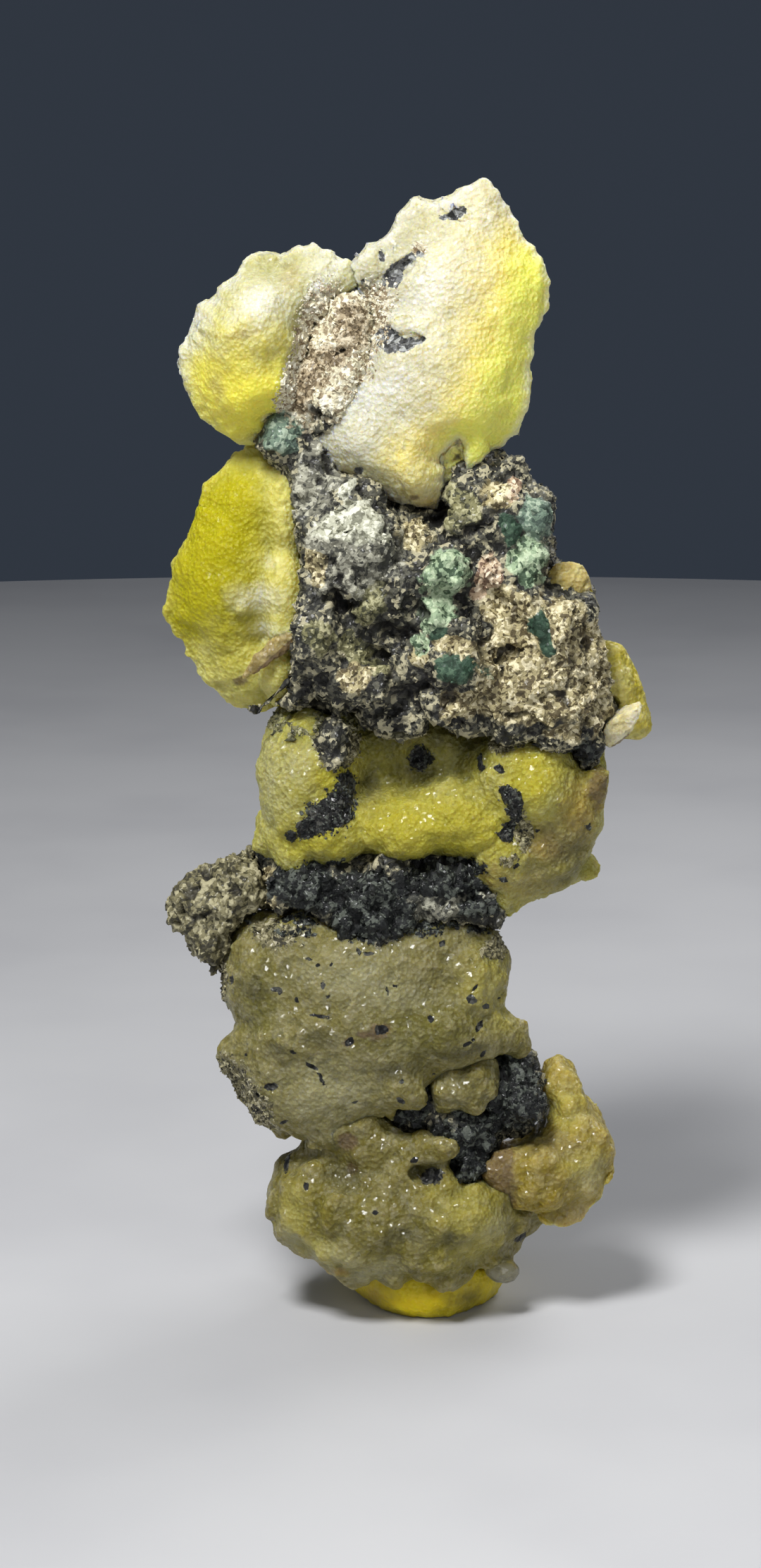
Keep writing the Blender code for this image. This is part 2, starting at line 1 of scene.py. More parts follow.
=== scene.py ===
# %% [markdown]
# # A yellow brucite specimen
# Brucite is a soft, waxy mineral that grows in rounded clusters. This piece stands upright: cream
# and lemon lobes on a dark rock full of green grains, on a low foot with a flat cut. Its plain
# solids come from the frame. In this lesson each solid gets a fine skin of its own, and a finish.

# %% The frame
import math

import bmesh
import bpy
import numpy as np
from mathutils import Matrix, Vector
from mathutils.bvhtree import BVHTree


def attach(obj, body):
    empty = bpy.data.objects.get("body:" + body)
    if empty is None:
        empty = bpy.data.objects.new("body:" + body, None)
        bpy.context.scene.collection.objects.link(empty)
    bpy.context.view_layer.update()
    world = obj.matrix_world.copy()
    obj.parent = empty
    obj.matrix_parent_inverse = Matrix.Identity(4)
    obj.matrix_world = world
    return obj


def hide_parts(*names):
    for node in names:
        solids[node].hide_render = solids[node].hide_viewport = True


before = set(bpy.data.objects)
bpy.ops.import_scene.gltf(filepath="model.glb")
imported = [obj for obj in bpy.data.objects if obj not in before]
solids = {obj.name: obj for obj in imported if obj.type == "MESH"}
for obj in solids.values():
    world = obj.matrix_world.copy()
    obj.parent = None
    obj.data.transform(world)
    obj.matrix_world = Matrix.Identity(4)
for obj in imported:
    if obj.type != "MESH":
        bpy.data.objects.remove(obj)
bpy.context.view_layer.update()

MM = 0.001
print("solids to dress:", ", ".join(sorted(solids)))

# %% [markdown]
# ## Camera, table and light
# The camera stands 40 cm away and looks down by 12 degrees. A long lens keeps the proportions
# true. The specimen stands on a round, pale grey table in front of a dark room, because thin
# brucite glows at its rims, and only a dark background lets that show.

# %% The camera
IMAGE_HEIGHT = 2224                   # pixels, the longer side of the picture
FOCAL_PIXELS = 5400
SENSOR = 36.0
LOOK_AT = Vector((-4.4, 0.0, 55.9))
CAMERA_AWAY = 400.0
CAMERA_TILT = 12.0


def link(name, data):
    """Puts a mesh, a camera or a lamp into the scene as an object."""
    obj = bpy.data.objects.new(name, data)
    bpy.context.scene.collection.objects.link(obj)
    return obj


lens = bpy.data.cameras.new("view")
lens.sensor_width = SENSOR
lens.lens = SENSOR * FOCAL_PIXELS / IMAGE_HEIGHT
lens.clip_start = 10 * MM
camera = link("view", lens)
tilt = math.radians(CAMERA_TILT)
back_and_up = Vector((0, -math.cos(tilt), math.sin(tilt)))
camera.location = (LOOK_AT + CAMERA_AWAY * back_and_up) * MM
camera.rotation_euler = (math.radians(90 - CAMERA_TILT), 0, 0)
bpy.context.scene.camera = camera
print("lens", round(lens.lens, 2), "mm")

# %% The table and the dark room
TABLE_RADIUS = 500.0
TABLE_THICKNESS = 20.0
TABLE_GREY = (0.56, 0.56, 0.57)
ROOM = (0.030, 0.038, 0.052)


def object_of(name, shape):
    """Turns a shape that is being worked on into an object of the scene."""
    mesh = bpy.data.meshes.new(name)
    shape.to_mesh(mesh)
    shape.free()
    return link(name, mesh)


shape = bmesh.new()
bmesh.ops.create_cone(
    shape, cap_ends=True, segments=180, radius1=TABLE_RADIUS * MM, radius2=TABLE_RADIUS * MM,
    depth=TABLE_THICKNESS * MM, matrix=Matrix.Translation((0, 0, -TABLE_THICKNESS / 2 * MM)),
)
table = object_of("table", shape)
print("table", 2 * TABLE_RADIUS, "mm across")

room = bpy.data.worlds.new("room")
room.use_nodes = True
room.node_tree.nodes["Background"].inputs["Color"].default_value = (*ROOM, 1.0)
bpy.context.scene.world = room
bpy.context.scene.view_settings.view_transform = "Standard"

# %% The lamps
LAMPS = [
    # name          place in mm         side  watts
    ("key_lamp", (-105, -205, 370), 100, 1.85),
    ("fill_lamp", (170, -390, 200), 260, 0.38),
    ("back_lamp", (180, 200, 300), 200, 0.62),
    ("left_lamp", (-380, 60, 180), 240, 0.18),
]
LAMP_AIM = Vector((0, 0, 70))

for name, place, side, watts in LAMPS:
    lamp = bpy.data.lights.new(name, "AREA")
    lamp.size = side * MM
    lamp.energy = watts
    holder = link(name, lamp)
    holder.location = Vector(place) * MM
    holder.rotation_euler = (LAMP_AIM - Vector(place)).to_track_quat("-Z", "Y").to_euler()
print(len(LAMPS), "lamps")

# %% [markdown]
# ## Numbers that look grown
# Natural surfaces repeat at every size. Three patterns make nearly all of them here: clouds, which
# swell and fade; round heads, which crowd together with a crack between neighbours; and broken
# faces, a tilted plane for each cell of space. Blender's textures could do it, but the same
# numbers also paint masks, so they are worked out here for all the points of a skin at once.

# %% Clouds
HASH_STEPS = np.array((73856093, 19349663, 83492791))
HASH_SEED = 7919
HASH_MIXES = ((13, 1274126177), (15, 1103515245))
HASH_RANGE = 0x7FFFFFFF
LAYER_SHIFT = 17.3                    # cells, how far each finer layer of a cloud is moved


def cell_number(cell, seed):
    """A steady random number from 0 to 1 for each whole-numbered cell."""
    mixed = np.abs(cell.astype(np.int64) @ HASH_STEPS + seed * HASH_SEED)
    for shift, factor in HASH_MIXES:
        mixed = (mixed ^ (mixed >> shift)) * factor & HASH_RANGE
    return (mixed ^ (mixed >> 16)) / HASH_RANGE


def cloud_layer(places, seed):
    base = np.floor(places).astype(np.int64)
    part = places - base
    part = part * part * (3 - 2 * part)
    total = np.zeros(len(places))
    for corner in np.ndindex(2, 2, 2):
        share = np.prod(np.where(corner, part, 1 - part), axis=1)
        total += share * cell_number(base + corner, seed)
    return 2 * total - 1


def clouds(at, size, seed, layers=3):
    """Soft noise, about -1 to 1, whose largest lumps have the given size in mm."""
    total = np.zeros(len(at))
    for layer in range(layers):
        places = at * 2**layer / size + LAYER_SHIFT * layer
        total += cloud_layer(places, seed + layer) / 2**layer
    return total


# %% Crowded cells
TOO_FAR = 9.0                         # cells, farther than any middle that is looked at


def crowd(at, size, seed):
    """The nearest of many scattered middles: its cell, the way from it, and the gap to the next."""
    places = at / size
    base = np.floor(places).astype(np.int64)
    nearest = np.full(len(at), TOO_FAR)
    second = nearest.copy()
    near_cell = base.copy()
    away = np.zeros_like(places)
    for step in np.ndindex(3, 3, 3):
        cell = base + np.array(step) - 1
        middle = cell + np.stack([cell_number(cell, seed + axis) for axis in range(3)], axis=1)
        offset = places - middle
        far = np.linalg.norm(offset, axis=1)
        nearer = far < nearest
        second = np.where(nearer, nearest, np.minimum(second, far))
        nearest = np.minimum(nearest, far)
        near_cell[nearer] = cell[nearer]
        away[nearer] = offset[nearer]
    return near_cell, away, second - nearest


print("the gap at three points:", crowd(np.eye(3) * 5.0, 2.0, 1)[2].round(2))

# %% Round heads and broken faces
CRACK_SHARP = 1.6                     # how steeply a head rises from its crack
LOWEST_HEAD = 0.6
FACE_TILT = 2.4                       # how steeply broken faces may lean


def heads(at, size, seed):
    """Round heads that crowd together: 1 on a head, 0 in the crack between two."""
    cell, _, gap = crowd(at, size, seed)
    high = LOWEST_HEAD + (1 - LOWEST_HEAD) * cell_number(cell, seed + 3)
    return np.sqrt(np.clip(gap * CRACK_SHARP, 0, 1)) * high


def broken(at, size, seed):
    """Broken crystal faces, about -1 to 1: each cell is a tilted plane at its own height."""
    cell, away, _ = crowd(at, size, seed)
    tilt = np.stack([cell_number(cell, seed + 4 + axis) for axis in range(3)], axis=1) - 0.5
    return 2 * cell_number(cell, seed + 3) - 1 + FACE_TILT * (away * tilt).sum(axis=1)


print("round heads at three points:", heads(np.eye(3) * 5.0, 2.0, 1).round(2))

# %% [markdown]
# ## A skin for a solid
# Every piece starts as a copy of its own solid, so it lies where the solid lies. Small buds are
# sunk into it, a voxel remesh melts all of it into one fine skin, and smoothing takes the flat
# facets away. The points then move in and out along their own directions, which gives swellings,
# scales and grains. Sculpting by hand would also work, but a rule can be run again.

# %% Buds on a solid
TRIES = 6                             # random places looked at for each one that is kept


def random_places(node, count, seed, where=None):
    """Random places on a solid, spread evenly by area, with their outward directions."""
    mesh = solids[node].data
    mesh.calc_loop_triangles()
    chance = np.random.default_rng(seed)
    points = np.array([vert.co for vert in mesh.vertices]) / MM
    corners = points[np.array([face.vertices for face in mesh.loop_triangles])]
    cross = np.cross(corners[:, 1] - corners[:, 0], corners[:, 2] - corners[:, 0])
    area = np.linalg.norm(cross, axis=1)
    picked = chance.choice(len(area), size=count * TRIES, p=area / area.sum())
    share = chance.dirichlet((1, 1, 1), size=count * TRIES)
    at = (corners[picked] * share[:, :, None]).sum(axis=1)
    out = cross[picked] / area[picked][:, None]
    if where is not None:
        wanted = where(at, out)
        at, out = at[wanted], out[wanted]
    return at[:count], out[:count]


def buds_on(node, count, sizes, seed, where=None, sunk=0.7):
    """Small round growths sunk into a solid, each a middle and its half sizes."""
    at, out = random_places(node, count, seed, where)
    chance = np.random.default_rng(seed + 1)
    radii = chance.uniform(*sizes, size=len(at))
    shapes = radii[:, None] * chance.uniform(0.8, 1.2, size=(len(at), 3))
    return list(zip(at - out * (radii * sunk)[:, None], shapes))


def at_rim(at, out):
    """True for places that face sideways, up or down rather than to the front or back."""
    return np.abs(out[:, 1]) < 0.55


# %% The skin itself
class Skin:
    """The fine mesh of one piece, with its points and outward directions in mm."""

    def __init__(self, obj, node):
        self.obj = obj
        self.node = node
        self.painted = {}
        self.read()

    def read(self):
        flat = np.empty(len(self.obj.data.vertices) * 3)
        self.obj.data.vertices.foreach_get("co", flat)
        self.at = flat.reshape(-1, 3) / MM
        self.obj.data.vertex_normals.foreach_get("vector", flat)
        self.out = flat.reshape(-1, 3).copy()

    def put(self, at):
        """Moves every point to its new place, never below the table."""
        at[:, 2] = np.maximum(at[:, 2], 0)
        self.obj.data.vertices.foreach_set("co", (at * MM).ravel())
        self.obj.data.update()
        self.read()

    def push(self, far):
        """Moves every point outward by its own distance in mm."""
        self.put(self.at + self.out * np.reshape(far, (-1, 1)))

    def soften(self, rounds):
        """Draws every point half way to the middle of its neighbours, again and again."""
        ends = np.empty(len(self.obj.data.edges) * 2, dtype=np.int32)
        self.obj.data.edges.foreach_get("vertices", ends)
        first, second = ends.reshape(-1, 2).T
        own = np.concatenate((first, second))
        other = np.concatenate((second, first))
        at = self.at
        count = np.bincount(own, minlength=len(at))[:, None]
        for _ in range(rounds):
            total = [np.bincount(own, at[other, axis], len(at)) for axis in range(3)]
            at = (at + np.stack(total, axis=1) / count) / 2
        self.put(at)

    def paint(self, name, values):
        """Keeps one number from 0 to 1 per point for the finish to read."""
        self.painted[name] = np.clip(values, 0, 1).astype(np.float32)
        layers = self.obj.data.attributes
        layer = layers.get(name) or layers.new(name, "FLOAT", "POINT")
        layer.data.foreach_set("value", self.painted[name])


# %% Pressing a front flatter
def soft_step(value, low, high):
    """0 below low, 1 above high, and a smooth slope between."""
    share = np.clip((value - low) / (high - low), 0, 1)
    return share * share * (3 - 2 * share)


def pressed(skin, share, rounds):
    """Presses the front of a skin part of the way onto a much softer copy of itself."""
    start = skin.at.copy()
    facing = share * soft_step(-skin.out[:, 1], 0.2, 0.7)
    skin.soften(rounds)
    start[:, 1] += facing * (skin.at[:, 1] - start[:, 1])
    skin.put(start)


# %% Growing a skin
def applied(obj):
    """Bakes the modifiers of an object into its mesh."""
    bpy.context.view_layer.update()
    graph = bpy.context.evaluated_depsgraph_get()
    mesh = bpy.data.meshes.new_from_object(obj.evaluated_get(graph))
    obj.modifiers.clear()
    obj.data = mesh


def grow_skin(name, node, cell, buds=(), smoothing=3):
    """A fine skin over a solid and its buds, melted together in cells of the given size."""
    shape = bmesh.new()
    if node:
        shape.from_mesh(solids[node].data)
    for middle, radii, *turn in buds:
        turned = Matrix.Rotation(-math.radians(sum(turn)), 4, "Y")
        place = Matrix.Translation(Vector(middle) * MM) @ turned
        size = Matrix.Diagonal((*(np.array(radii) * MM), 1.0))
        bmesh.ops.create_icosphere(shape, subdivisions=2, radius=1.0, matrix=place @ size)
    obj = object_of(name, shape)
    melt = obj.modifiers.new("melt", "REMESH")
    melt.mode = "VOXEL"
    melt.voxel_size = cell * MM
    soften = obj.modifiers.new("soften", "SMOOTH")
    soften.factor = 0.5
    soften.iterations = smoothing
    applied(obj)
    obj.data.shade_smooth()
    print(name, "has", len(obj.data.polygons), "faces")
    return Skin(obj, node)


# %% [markdown]
# ## A rim that follows an edge
# A lobe ends in a thin, scalloped rim. Its edge is drawn as a row of corners, as it shows from
# the front, and the cracks between small round heads cut into it. Points outside the edge are
# drawn in to it. A boolean cut would leave a sheer wall, and a real rim thins like a lens.

# %% Scallops
EDGE_STEP = 0.35                      # mm between two points of a scalloped edge
CRACK_LEVEL = 0.7                     # heads lower than this cut into the edge
FINE_SHARE = 0.4                      # how deep the finer scallops are against the large ones
FINE_SIZE = 0.45


def sides(edge):
    """The sides of a closed edge, each with its start, its end and the way between them."""
    starts = np.array(edge, dtype=float)
    ends = np.roll(starts, -1, axis=0)
    return zip(starts, ends, ends - starts)


def scalloped(edge, size=1.9, depths=(0.7, 0.7), seed=5):
    """The same edge with small scallops, whose cracks cut in by the depths at its left and right."""
    across = (min(edge)[0], max(edge)[0])            # from the leftmost corner to the rightmost
    cut = []
    for start, _, way in sides(edge):
        long = np.linalg.norm(way)
        share = np.arange(0, 1, EDGE_STEP / max(long, EDGE_STEP))[:, None]
        places = start + share * way
        spread = np.column_stack((places[:, 0], np.zeros(len(places)), places[:, 1]))
        inward = np.array((way[1], -way[0])) / long
        fine = FINE_SHARE * (CRACK_LEVEL - heads(spread, FINE_SIZE * size, seed))
        crack = CRACK_LEVEL - heads(spread, size, seed) + fine
        cut.append(places + inward * (np.interp(places[:, 0], across, depths) * crack)[:, None])
    return np.concatenate(cut)


print("a square of 4 mm gets", len(scalloped([(0, 0), (0, 4), (4, 4), (4, 0)])), "points")

# %% Fitting the rim to an edge
RIM_SHARE = 0.35                      # how thick the very rim of a lobe stays
RIM_WIDTH = 3.0                       # mm, where the lobe has its full thickness again
# the pale line along the rim is a painted glow of the thin edge
RIM_GLOW_WIDTH = 1.6                        # mm, how far in from the edge the pale line of the rim fades


def fit_rim(skin, edge, reach=2.2, rounds=1, middle=None):
    """Draws the rim of a skin in or out to an edge that is given as it shows from the front.

    With a middle depth, the rim also thins towards that depth, as the edge of a lens does."""
    flat = skin.at[:, (0, 2)]
    best = np.full(len(flat), np.inf)
    foot = flat.copy()
    inside = np.zeros(len(flat), dtype=bool)
    for start, end, way in sides(edge):
        share = np.clip((flat - start) @ way / (way @ way), 0, 1)
        place = start + share[:, None] * way
        far = np.linalg.norm(flat - place, axis=1)
        foot[far < best] = place[far < best]
        best = np.minimum(best, far)
        crosses = (start[1] > flat[:, 1]) != (end[1] > flat[:, 1])
        if way[1]:
            inside ^= crosses & (flat[:, 0] < start[0] + (flat[:, 1] - start[1]) * way[0] / way[1])
    # painted glow along the rim, palest at the edge
    skin.paint("rim", 1 - best / RIM_GLOW_WIDTH)
    sideways = soft_step(1 - np.abs(skin.out[:, 1]), 0.2, 0.8)
    pull = np.where(inside, sideways * soft_step(reach - best, 0, 0.5 * reach), 1.0)
    at = skin.at.copy()
    at[:, (0, 2)] += pull[:, None] * (foot - flat)
    if middle is not None:
        far = best * (1 - pull)
        thin = RIM_SHARE + (1 - RIM_SHARE) * np.sqrt(np.clip(far / RIM_WIDTH, 0, 1))
        at[:, 1] = middle + (at[:, 1] - middle) * thin
    skin.put(at)
    skin.soften(rounds)
    print(skin.obj.name, "points drawn in:", int((~inside).sum()), "of", len(inside))


# %% [markdown]
# ## Marks in chosen places
# Stains, cracks and patches sit in chosen places on the front. Each is an oval with a place
# across and up, its half width, its half height and, if it is turned, an angle. Its middle is
# found by shooting a ray at the solid from the front, so that the mark lies on the surface
# whatever its depth is there. An image painted on the front would smear over the sides.
# The ovals are then bent by clouds, because no stain in a stone is a neat oval.

# %% Marks
BEFORE = -60.0                        # mm, in front of every part of the specimen
FRONT_FACE = -9.0                     # mm, about where the front of most lobes lies
solid_trees = {}


def front_of(node, across, up):
    """The place across and up on the front of a solid, or level with its nearest point beside it."""
    if node not in solid_trees:
        mesh = solids[node].data
        solid_trees[node] = BVHTree.FromPolygons(
            [vert.co for vert in mesh.vertices], [face.vertices for face in mesh.polygons]
        )
    start = Vector((across, BEFORE, up)) * MM
    hit = solid_trees[node].ray_cast(start, Vector((0, 1, 0)))[0]
    if hit is None:
        beside = Vector((across, FRONT_FACE, up)) * MM
        hit = solid_trees[node].find_nearest(beside)[0]
    return np.array((across, hit.y / MM, up))


def bent(at, far, size=2.2, seed=90):
    """Places moved about by clouds, up to the given distance in mm."""
    return at + far * np.stack([clouds(at, size, seed + 5 * axis) for axis in range(3)], axis=1)


def marked(at, node, marks, deep=3.0):
    """How far inside oval marks the points lie: 1 at a middle, 0.5 at an edge, 0 outside."""
    inside = np.zeros(len(at))
    for across, up, wide, high, *turn in marks:
        away = at - front_of(node, across, up)
        angle = math.radians(sum(turn))
        cos, sin = math.cos(angle), math.sin(angle)
        along = (away[:, 0] * cos + away[:, 2] * sin) / wide
        over = (away[:, 2] * cos - away[:, 0] * sin) / high
        far = np.sqrt(along**2 + over**2 + (away[:, 1] / max(deep, wide)) ** 2)
        inside = np.maximum(inside, 1 - far / 2)
    return inside


# %% [markdown]
# ## Loose grains
# Crumbs that overhang can't come from pushing a skin in and out, so they are small pieces of
# their own: an octahedron with its six corners shaken, turned at random and sunk a little into
# the skin. All the grains of one zone are one mesh. Each takes over the masks of the place it
# sits on, and gets a tone of its own.

# %% Grains
GRAIN_CORNERS = np.concatenate((np.eye(3), -np.eye(3)))
GRAIN_FACES = np.array(
    [(0, 1, 2), (1, 3, 2), (3, 4, 2), (4, 0, 2), (1, 0, 5), (3, 1, 5), (4, 3, 5), (0, 4, 5)]
)


def scatter(name, skin, wanted, count, sizes, seed, sunk=0.35):
    """Small angular grains set on a skin, thickest where wanted is highest."""
    chance = np.random.default_rng(seed)
    picked = chance.choice(len(skin.at), size=count, p=wanted / wanted.sum())
    small, large = sizes
    size = small + (large - small) * chance.uniform(size=(count, 1, 1)) ** 2.5
    turns = np.linalg.qr(chance.normal(size=(count, 3, 3)))[0]
    turns *= np.linalg.det(turns)[:, None, None]
    shaken = GRAIN_CORNERS * chance.uniform(0.7, 1.4, size=(count, len(GRAIN_CORNERS), 1))
    stretched = shaken * size * chance.uniform(0.45, 1.3, size=(count, 1, 3))
    middles = skin.at[picked] - skin.out[picked] * size[:, 0] * sunk
    points = np.einsum("nij,nkj->nki", turns, stretched) + middles[:, None]
    points = points.reshape(-1, 3)
    points[:, 2] = np.maximum(points[:, 2], 0)
    mesh = bpy.data.meshes.new(name)
    numbered = GRAIN_FACES[None] + len(GRAIN_CORNERS) * np.arange(count)[:, None, None]
    mesh.from_pydata((points * MM).tolist(), [], numbered.reshape(-1, 3).tolist())
    grains = Skin(link(name, mesh), None)
    for mask, values in skin.painted.items():
        if mask != "tone":
            grains.paint(mask, np.repeat(values[picked], len(GRAIN_CORNERS)))
    grains.paint("tone", np.repeat(chance.uniform(size=count), len(GRAIN_CORNERS)))
    print(name, "has", count, "grains")
    return grains


# %% [markdown]
# ## A finish laid down in coats
# A material is built like a glaze: a base colour, then coats that each cover a share of it. The
# share comes from a painted mask, whose edge is broken up by fine noise, so that no stain ends
# in a smooth line. Relief finer than the mesh is bump. A painted image would need every skin to
# be unwrapped first, while masks kept on the points and noise fit any shape.

# %% The finish builder
LIGHT_GRAIN = (0.58, 0.66)            # tones between which the light grains fade in
DARK_GRAIN = (0.44, 0.36)             # and the dark ones


class Finish:
    """A material laid down in coats, from the base up."""

    def __init__(self, name, base):
        self.material = bpy.data.materials.new(name)
        self.material.use_nodes = True
        self.tree = self.material.node_tree
        self.shader = self.tree.nodes["Principled BSDF"]
        self.places = self.node("ShaderNodeTexCoord").outputs["Object"]
        self.colour = (*base, 1.0)
        self.bump = None

    def node(self, kind, inputs=None, **settings):
        """Adds a node and feeds its inputs, each given by its name or number."""
        made = self.tree.nodes.new(kind)
        for name, value in settings.items():
            setattr(made, name, value)
        self.feed(made, inputs or {})
        return made

    def feed(self, node, inputs):
        """Links other nodes' outputs into the sockets of a node, or sets plain values on them."""
        for key, value in inputs.items():
            if isinstance(value, bpy.types.NodeSocket):
                self.tree.links.new(value, node.inputs[key])
            else:
                node.inputs[key].default_value = value

    def maths(self, operation, *values, kind="ShaderNodeMath"):
        return self.node(kind, dict(enumerate(values)), operation=operation).outputs[0]

    def times(self, first, second):
        return self.maths("MULTIPLY", first, second)

    def streaked(self, turn, stretch):
        """Places turned about Y and drawn out, so that a noise read there runs in streaks."""
        turned = {"Rotation": (0, math.radians(turn), 0), "Scale": (stretch, 1, 1)}
        mapping = {"Vector": self.places, **turned}
        return self.node("ShaderNodeMapping", mapping, vector_type="TEXTURE").outputs["Vector"]

    def noise(self, size, detail=2.0, places=None):
        inputs = {"Vector": places or self.places, "Scale": 1 / (size * MM), "Detail": detail}
        return self.node("ShaderNodeTexNoise", inputs).outputs["Fac"]

    def cells(self, size, output="Distance"):
        inputs = {"Vector": self.places, "Scale": 1 / (size * MM)}
        return self.node("ShaderNodeTexVoronoi", inputs).outputs[output]

    def step(self, value, low, high):
        ramp = {"Value": value, "From Min": low, "From Max": high}
        return self.node("ShaderNodeMapRange", ramp, interpolation_type="SMOOTHSTEP").outputs["Result"]

    def painted(self, name):
        return self.node("ShaderNodeAttribute", attribute_name=name).outputs["Fac"]

    def mask(self, name, low=0.5, high=0.65, ragged=0.0, size=0.6):
        """A painted mask, its edge broken up by noise of the given size."""
        value = self.painted(name)
        if ragged:
            value = self.maths("MULTIPLY_ADD", self.noise(size, 3.0), 2 * ragged, value)
            value = self.maths("SUBTRACT", value, ragged)
        return self.step(value, low, high)

    def coat(self, colour, mask, share=None):
        """Lays a colour over the coats below, as far as a mask and a share of it reach."""
        covered = mask if share is None else self.times(mask, share)
        colours = {0: covered, 6: self.colour, 7: (*colour, 1.0)}
        self.colour = self.node("ShaderNodeMix", colours, data_type="RGBA").outputs[2]

    def grainy(self, share, kind, tone):
        """Dark, middle and light grains over a share of the surface, picked by a tone."""
        dark, middle, light = kind
        self.coat(middle, share)
        self.coat(light, share, self.step(tone, *LIGHT_GRAIN))
        self.coat(dark, share, self.step(tone, *DARK_GRAIN))

    def relief(self, height, depth):
        """Adds bump whose full height is the given depth in mm."""
        inputs = {"Distance": depth * MM, "Height": height}
        if self.bump is not None:
            inputs["Normal"] = self.bump
        self.bump = self.node("ShaderNodeBump", inputs).outputs["Normal"]

    def sparkle(self, size, tilt):
        """Tips the clear coat of each tiny cell its own way, so that some of them flash."""
        outward = self.node("ShaderNodeNewGeometry").outputs["Normal"]
        kind = "ShaderNodeVectorMath"
        tint = self.cells(size, "Color")
        tipped = self.maths("MULTIPLY_ADD", tint, (2 * tilt,) * 3, outward, kind=kind)
        centred = self.maths("SUBTRACT", tipped, (tilt,) * 3, kind=kind)
        self.feed(self.shader, {"Coat Normal": self.maths("NORMALIZE", centred, kind=kind)})

    def done(self, inputs):
        """Feeds the shader and hands over the material."""
        self.feed(self.shader, {"Base Color": self.colour, **inputs})
        if self.bump is not None:
            self.feed(self.shader, {"Normal": self.bump})
        print("finish", self.material.name, "has", len(self.tree.nodes), "nodes")
        return self.material


# %% Dressing a piece
def dress(skin, material):
    """Gives a finished skin its material and its place in the model."""
    skin.obj.data.materials.clear()
    skin.obj.data.materials.append(material)
    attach(skin.obj, "root")
    if skin.node:
        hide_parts(skin.node)
    print(skin.obj.name, "wears", material.name)


# %% The table top
TABLE_SHADE = (0.50, 0.50, 0.515)
top = Finish("table_top", TABLE_GREY)
top.coat(TABLE_SHADE, top.step(top.noise(60.0, 3.0), 0.35, 0.75))
top.relief(top.noise(1.5, 3.0), 0.02)
table.data.materials.append(top.done({"Roughness": 0.6}))

# %% [markdown]
# ## The host rock
# The rock is a crowd of grains: glossy black ones on the left, a frosted grey dome over them,
# green nodules in the middle and tan crumble on the right. Thousands of modelled grains would be
# heavy, so most of them are only cut into one skin: clumps first, then broken faces of two sizes.
# Each kind of rock is a trio of colours, and each grain takes one of the three.

# %% Zones of the rock
ZONES = {
    "grey": [(-7, 82.6, 5.4, 4.8), (-11.2, 89.3, 2.3, 4.1, -10), (2.4, 45.6, 5.6, 2.2)],
    "white": [(-7.2, 85.6, 3.4, 1.9, 5), (-4.4, 84.4, 1.6, 1.2), (-8, 88.6, 1, 1.2)],
    "green": [
        (2.6, 80.2, 3, 3.2), (1.2, 76.6, 2.2, 2.2), (10.8, 81, 2.4, 2.6), (-0.4, 73.4, 1.2, 1.4),
    ],
    "olive": [
        (-5.6, 77.3, 2, 2.6), (-6.9, 72.8, 2.2, 1.2, -30), (-4.4, 70.6, 1.4, 0.9),
        (-10.6, 74, 1.4, 1.6), (3.4, 86.6, 1.6, 2.4),
    ],
    "bottle": [
        (3.7, 70.8, 2.2, 1.9, -10), (11.8, 74.2, 1.2, 2.6, 5), (1.8, 74.6, 1.4, 0.9, 20),
        (8.6, 84.4, 1.4, 1.6),
    ],
    "teal": [(11.6, 85.5, 1.7, 3), (-14.6, 94, 2.4, 2.4)],
    "tan": [
        (11.4, 70.9, 6, 7.2, -30), (8.2, 76.4, 2.6, 2.6), (16.4, 69.4, 3.4, 6.4, -20),
        (17.6, 65.4, 2.2, 2.2), (14.2, 76.2, 3, 3), (-0.1, 71.7, 1, 1.3), (3.4, 66.7, 2.8, 1.4, 10),
        (-7.2, 69.9, 1.9, 1.8), (7, 87.6, 2, 1.2), (14.5, 63.6, 2.6, 1.2, 20), (-9.2, 63, 2.4, 2.8),
        (-1.2, 83.6, 1.5, 1.8), (-15.6, 46.4, 2.2, 2.4), (-11, 81.4, 1.2, 1.6),
        (3.6, 73.4, 2.6, 1, -10), (6.6, 68.6, 1.8, 1.4),
    ],
    "pink": [(6.6, 80.2, 1.6, 1.8), (8.9, 88.2, 0.7, 0.8), (5.4, 78, 0.9, 0.9)],
    "neck": [(-8.2, 105.4, 3.8, 3.4), (-11, 99.4, 3.6, 5.4, -25), (-7.4, 99.6, 2.2, 4.8, -25)],
    "stem": [(-11.3, 99.2, 1.4, 3.8, -25), (-7.2, 104.4, 2.2, 2.6, -20), (-9.2, 102, 1.4, 1.4)],
    "blue": [
        (-5.8, 45, 4.8, 4.2), (-12.2, 47.4, 4.2, 2.6), (2, 48, 5.5, 2), (5.4, 44.8, 2.6, 1.6, 20),
        (-2.6, 64.4, 3.8, 1.8), (17, 61.4, 1.9, 1.9), (-1.8, 25, 3, 3.6), (7.3, 25, 6, 5, -30),
        (4, 18.5, 5, 3.5),
    ],
    "void": [
        (0.9, 86.4, 1.2, 3), (-0.4, 77, 0.8, 1.4), (5.6, 84.6, 1.4, 0.8, 10),
        (-8.8, 102.3, 0.6, 0.5), (8, 71.2, 0.7, 1.6), (-2.6, 74.2, 2.2, 1.2, 30),
        (-11.2, 95.6, 0.9, 0.9), (6.4, 73.6, 0.6, 0.9), (-3.2, 70.4, 0.7, 1.6, 10),
        (6.6, 86, 1.5, 0.9, 20), (9, 66, 1.2, 0.6), (-9.2, 77.4, 0.8, 2.2, 10),
        (-1.6, 67.6, 2.6, 0.8, 10), (4.8, 84.6, 1, 1.6, -30),
    ],
}
BACK_ZONES = {"tan": (6.0, 0.25), "green": (4.5, 0.75), "blue": (7.0, 0.45)}


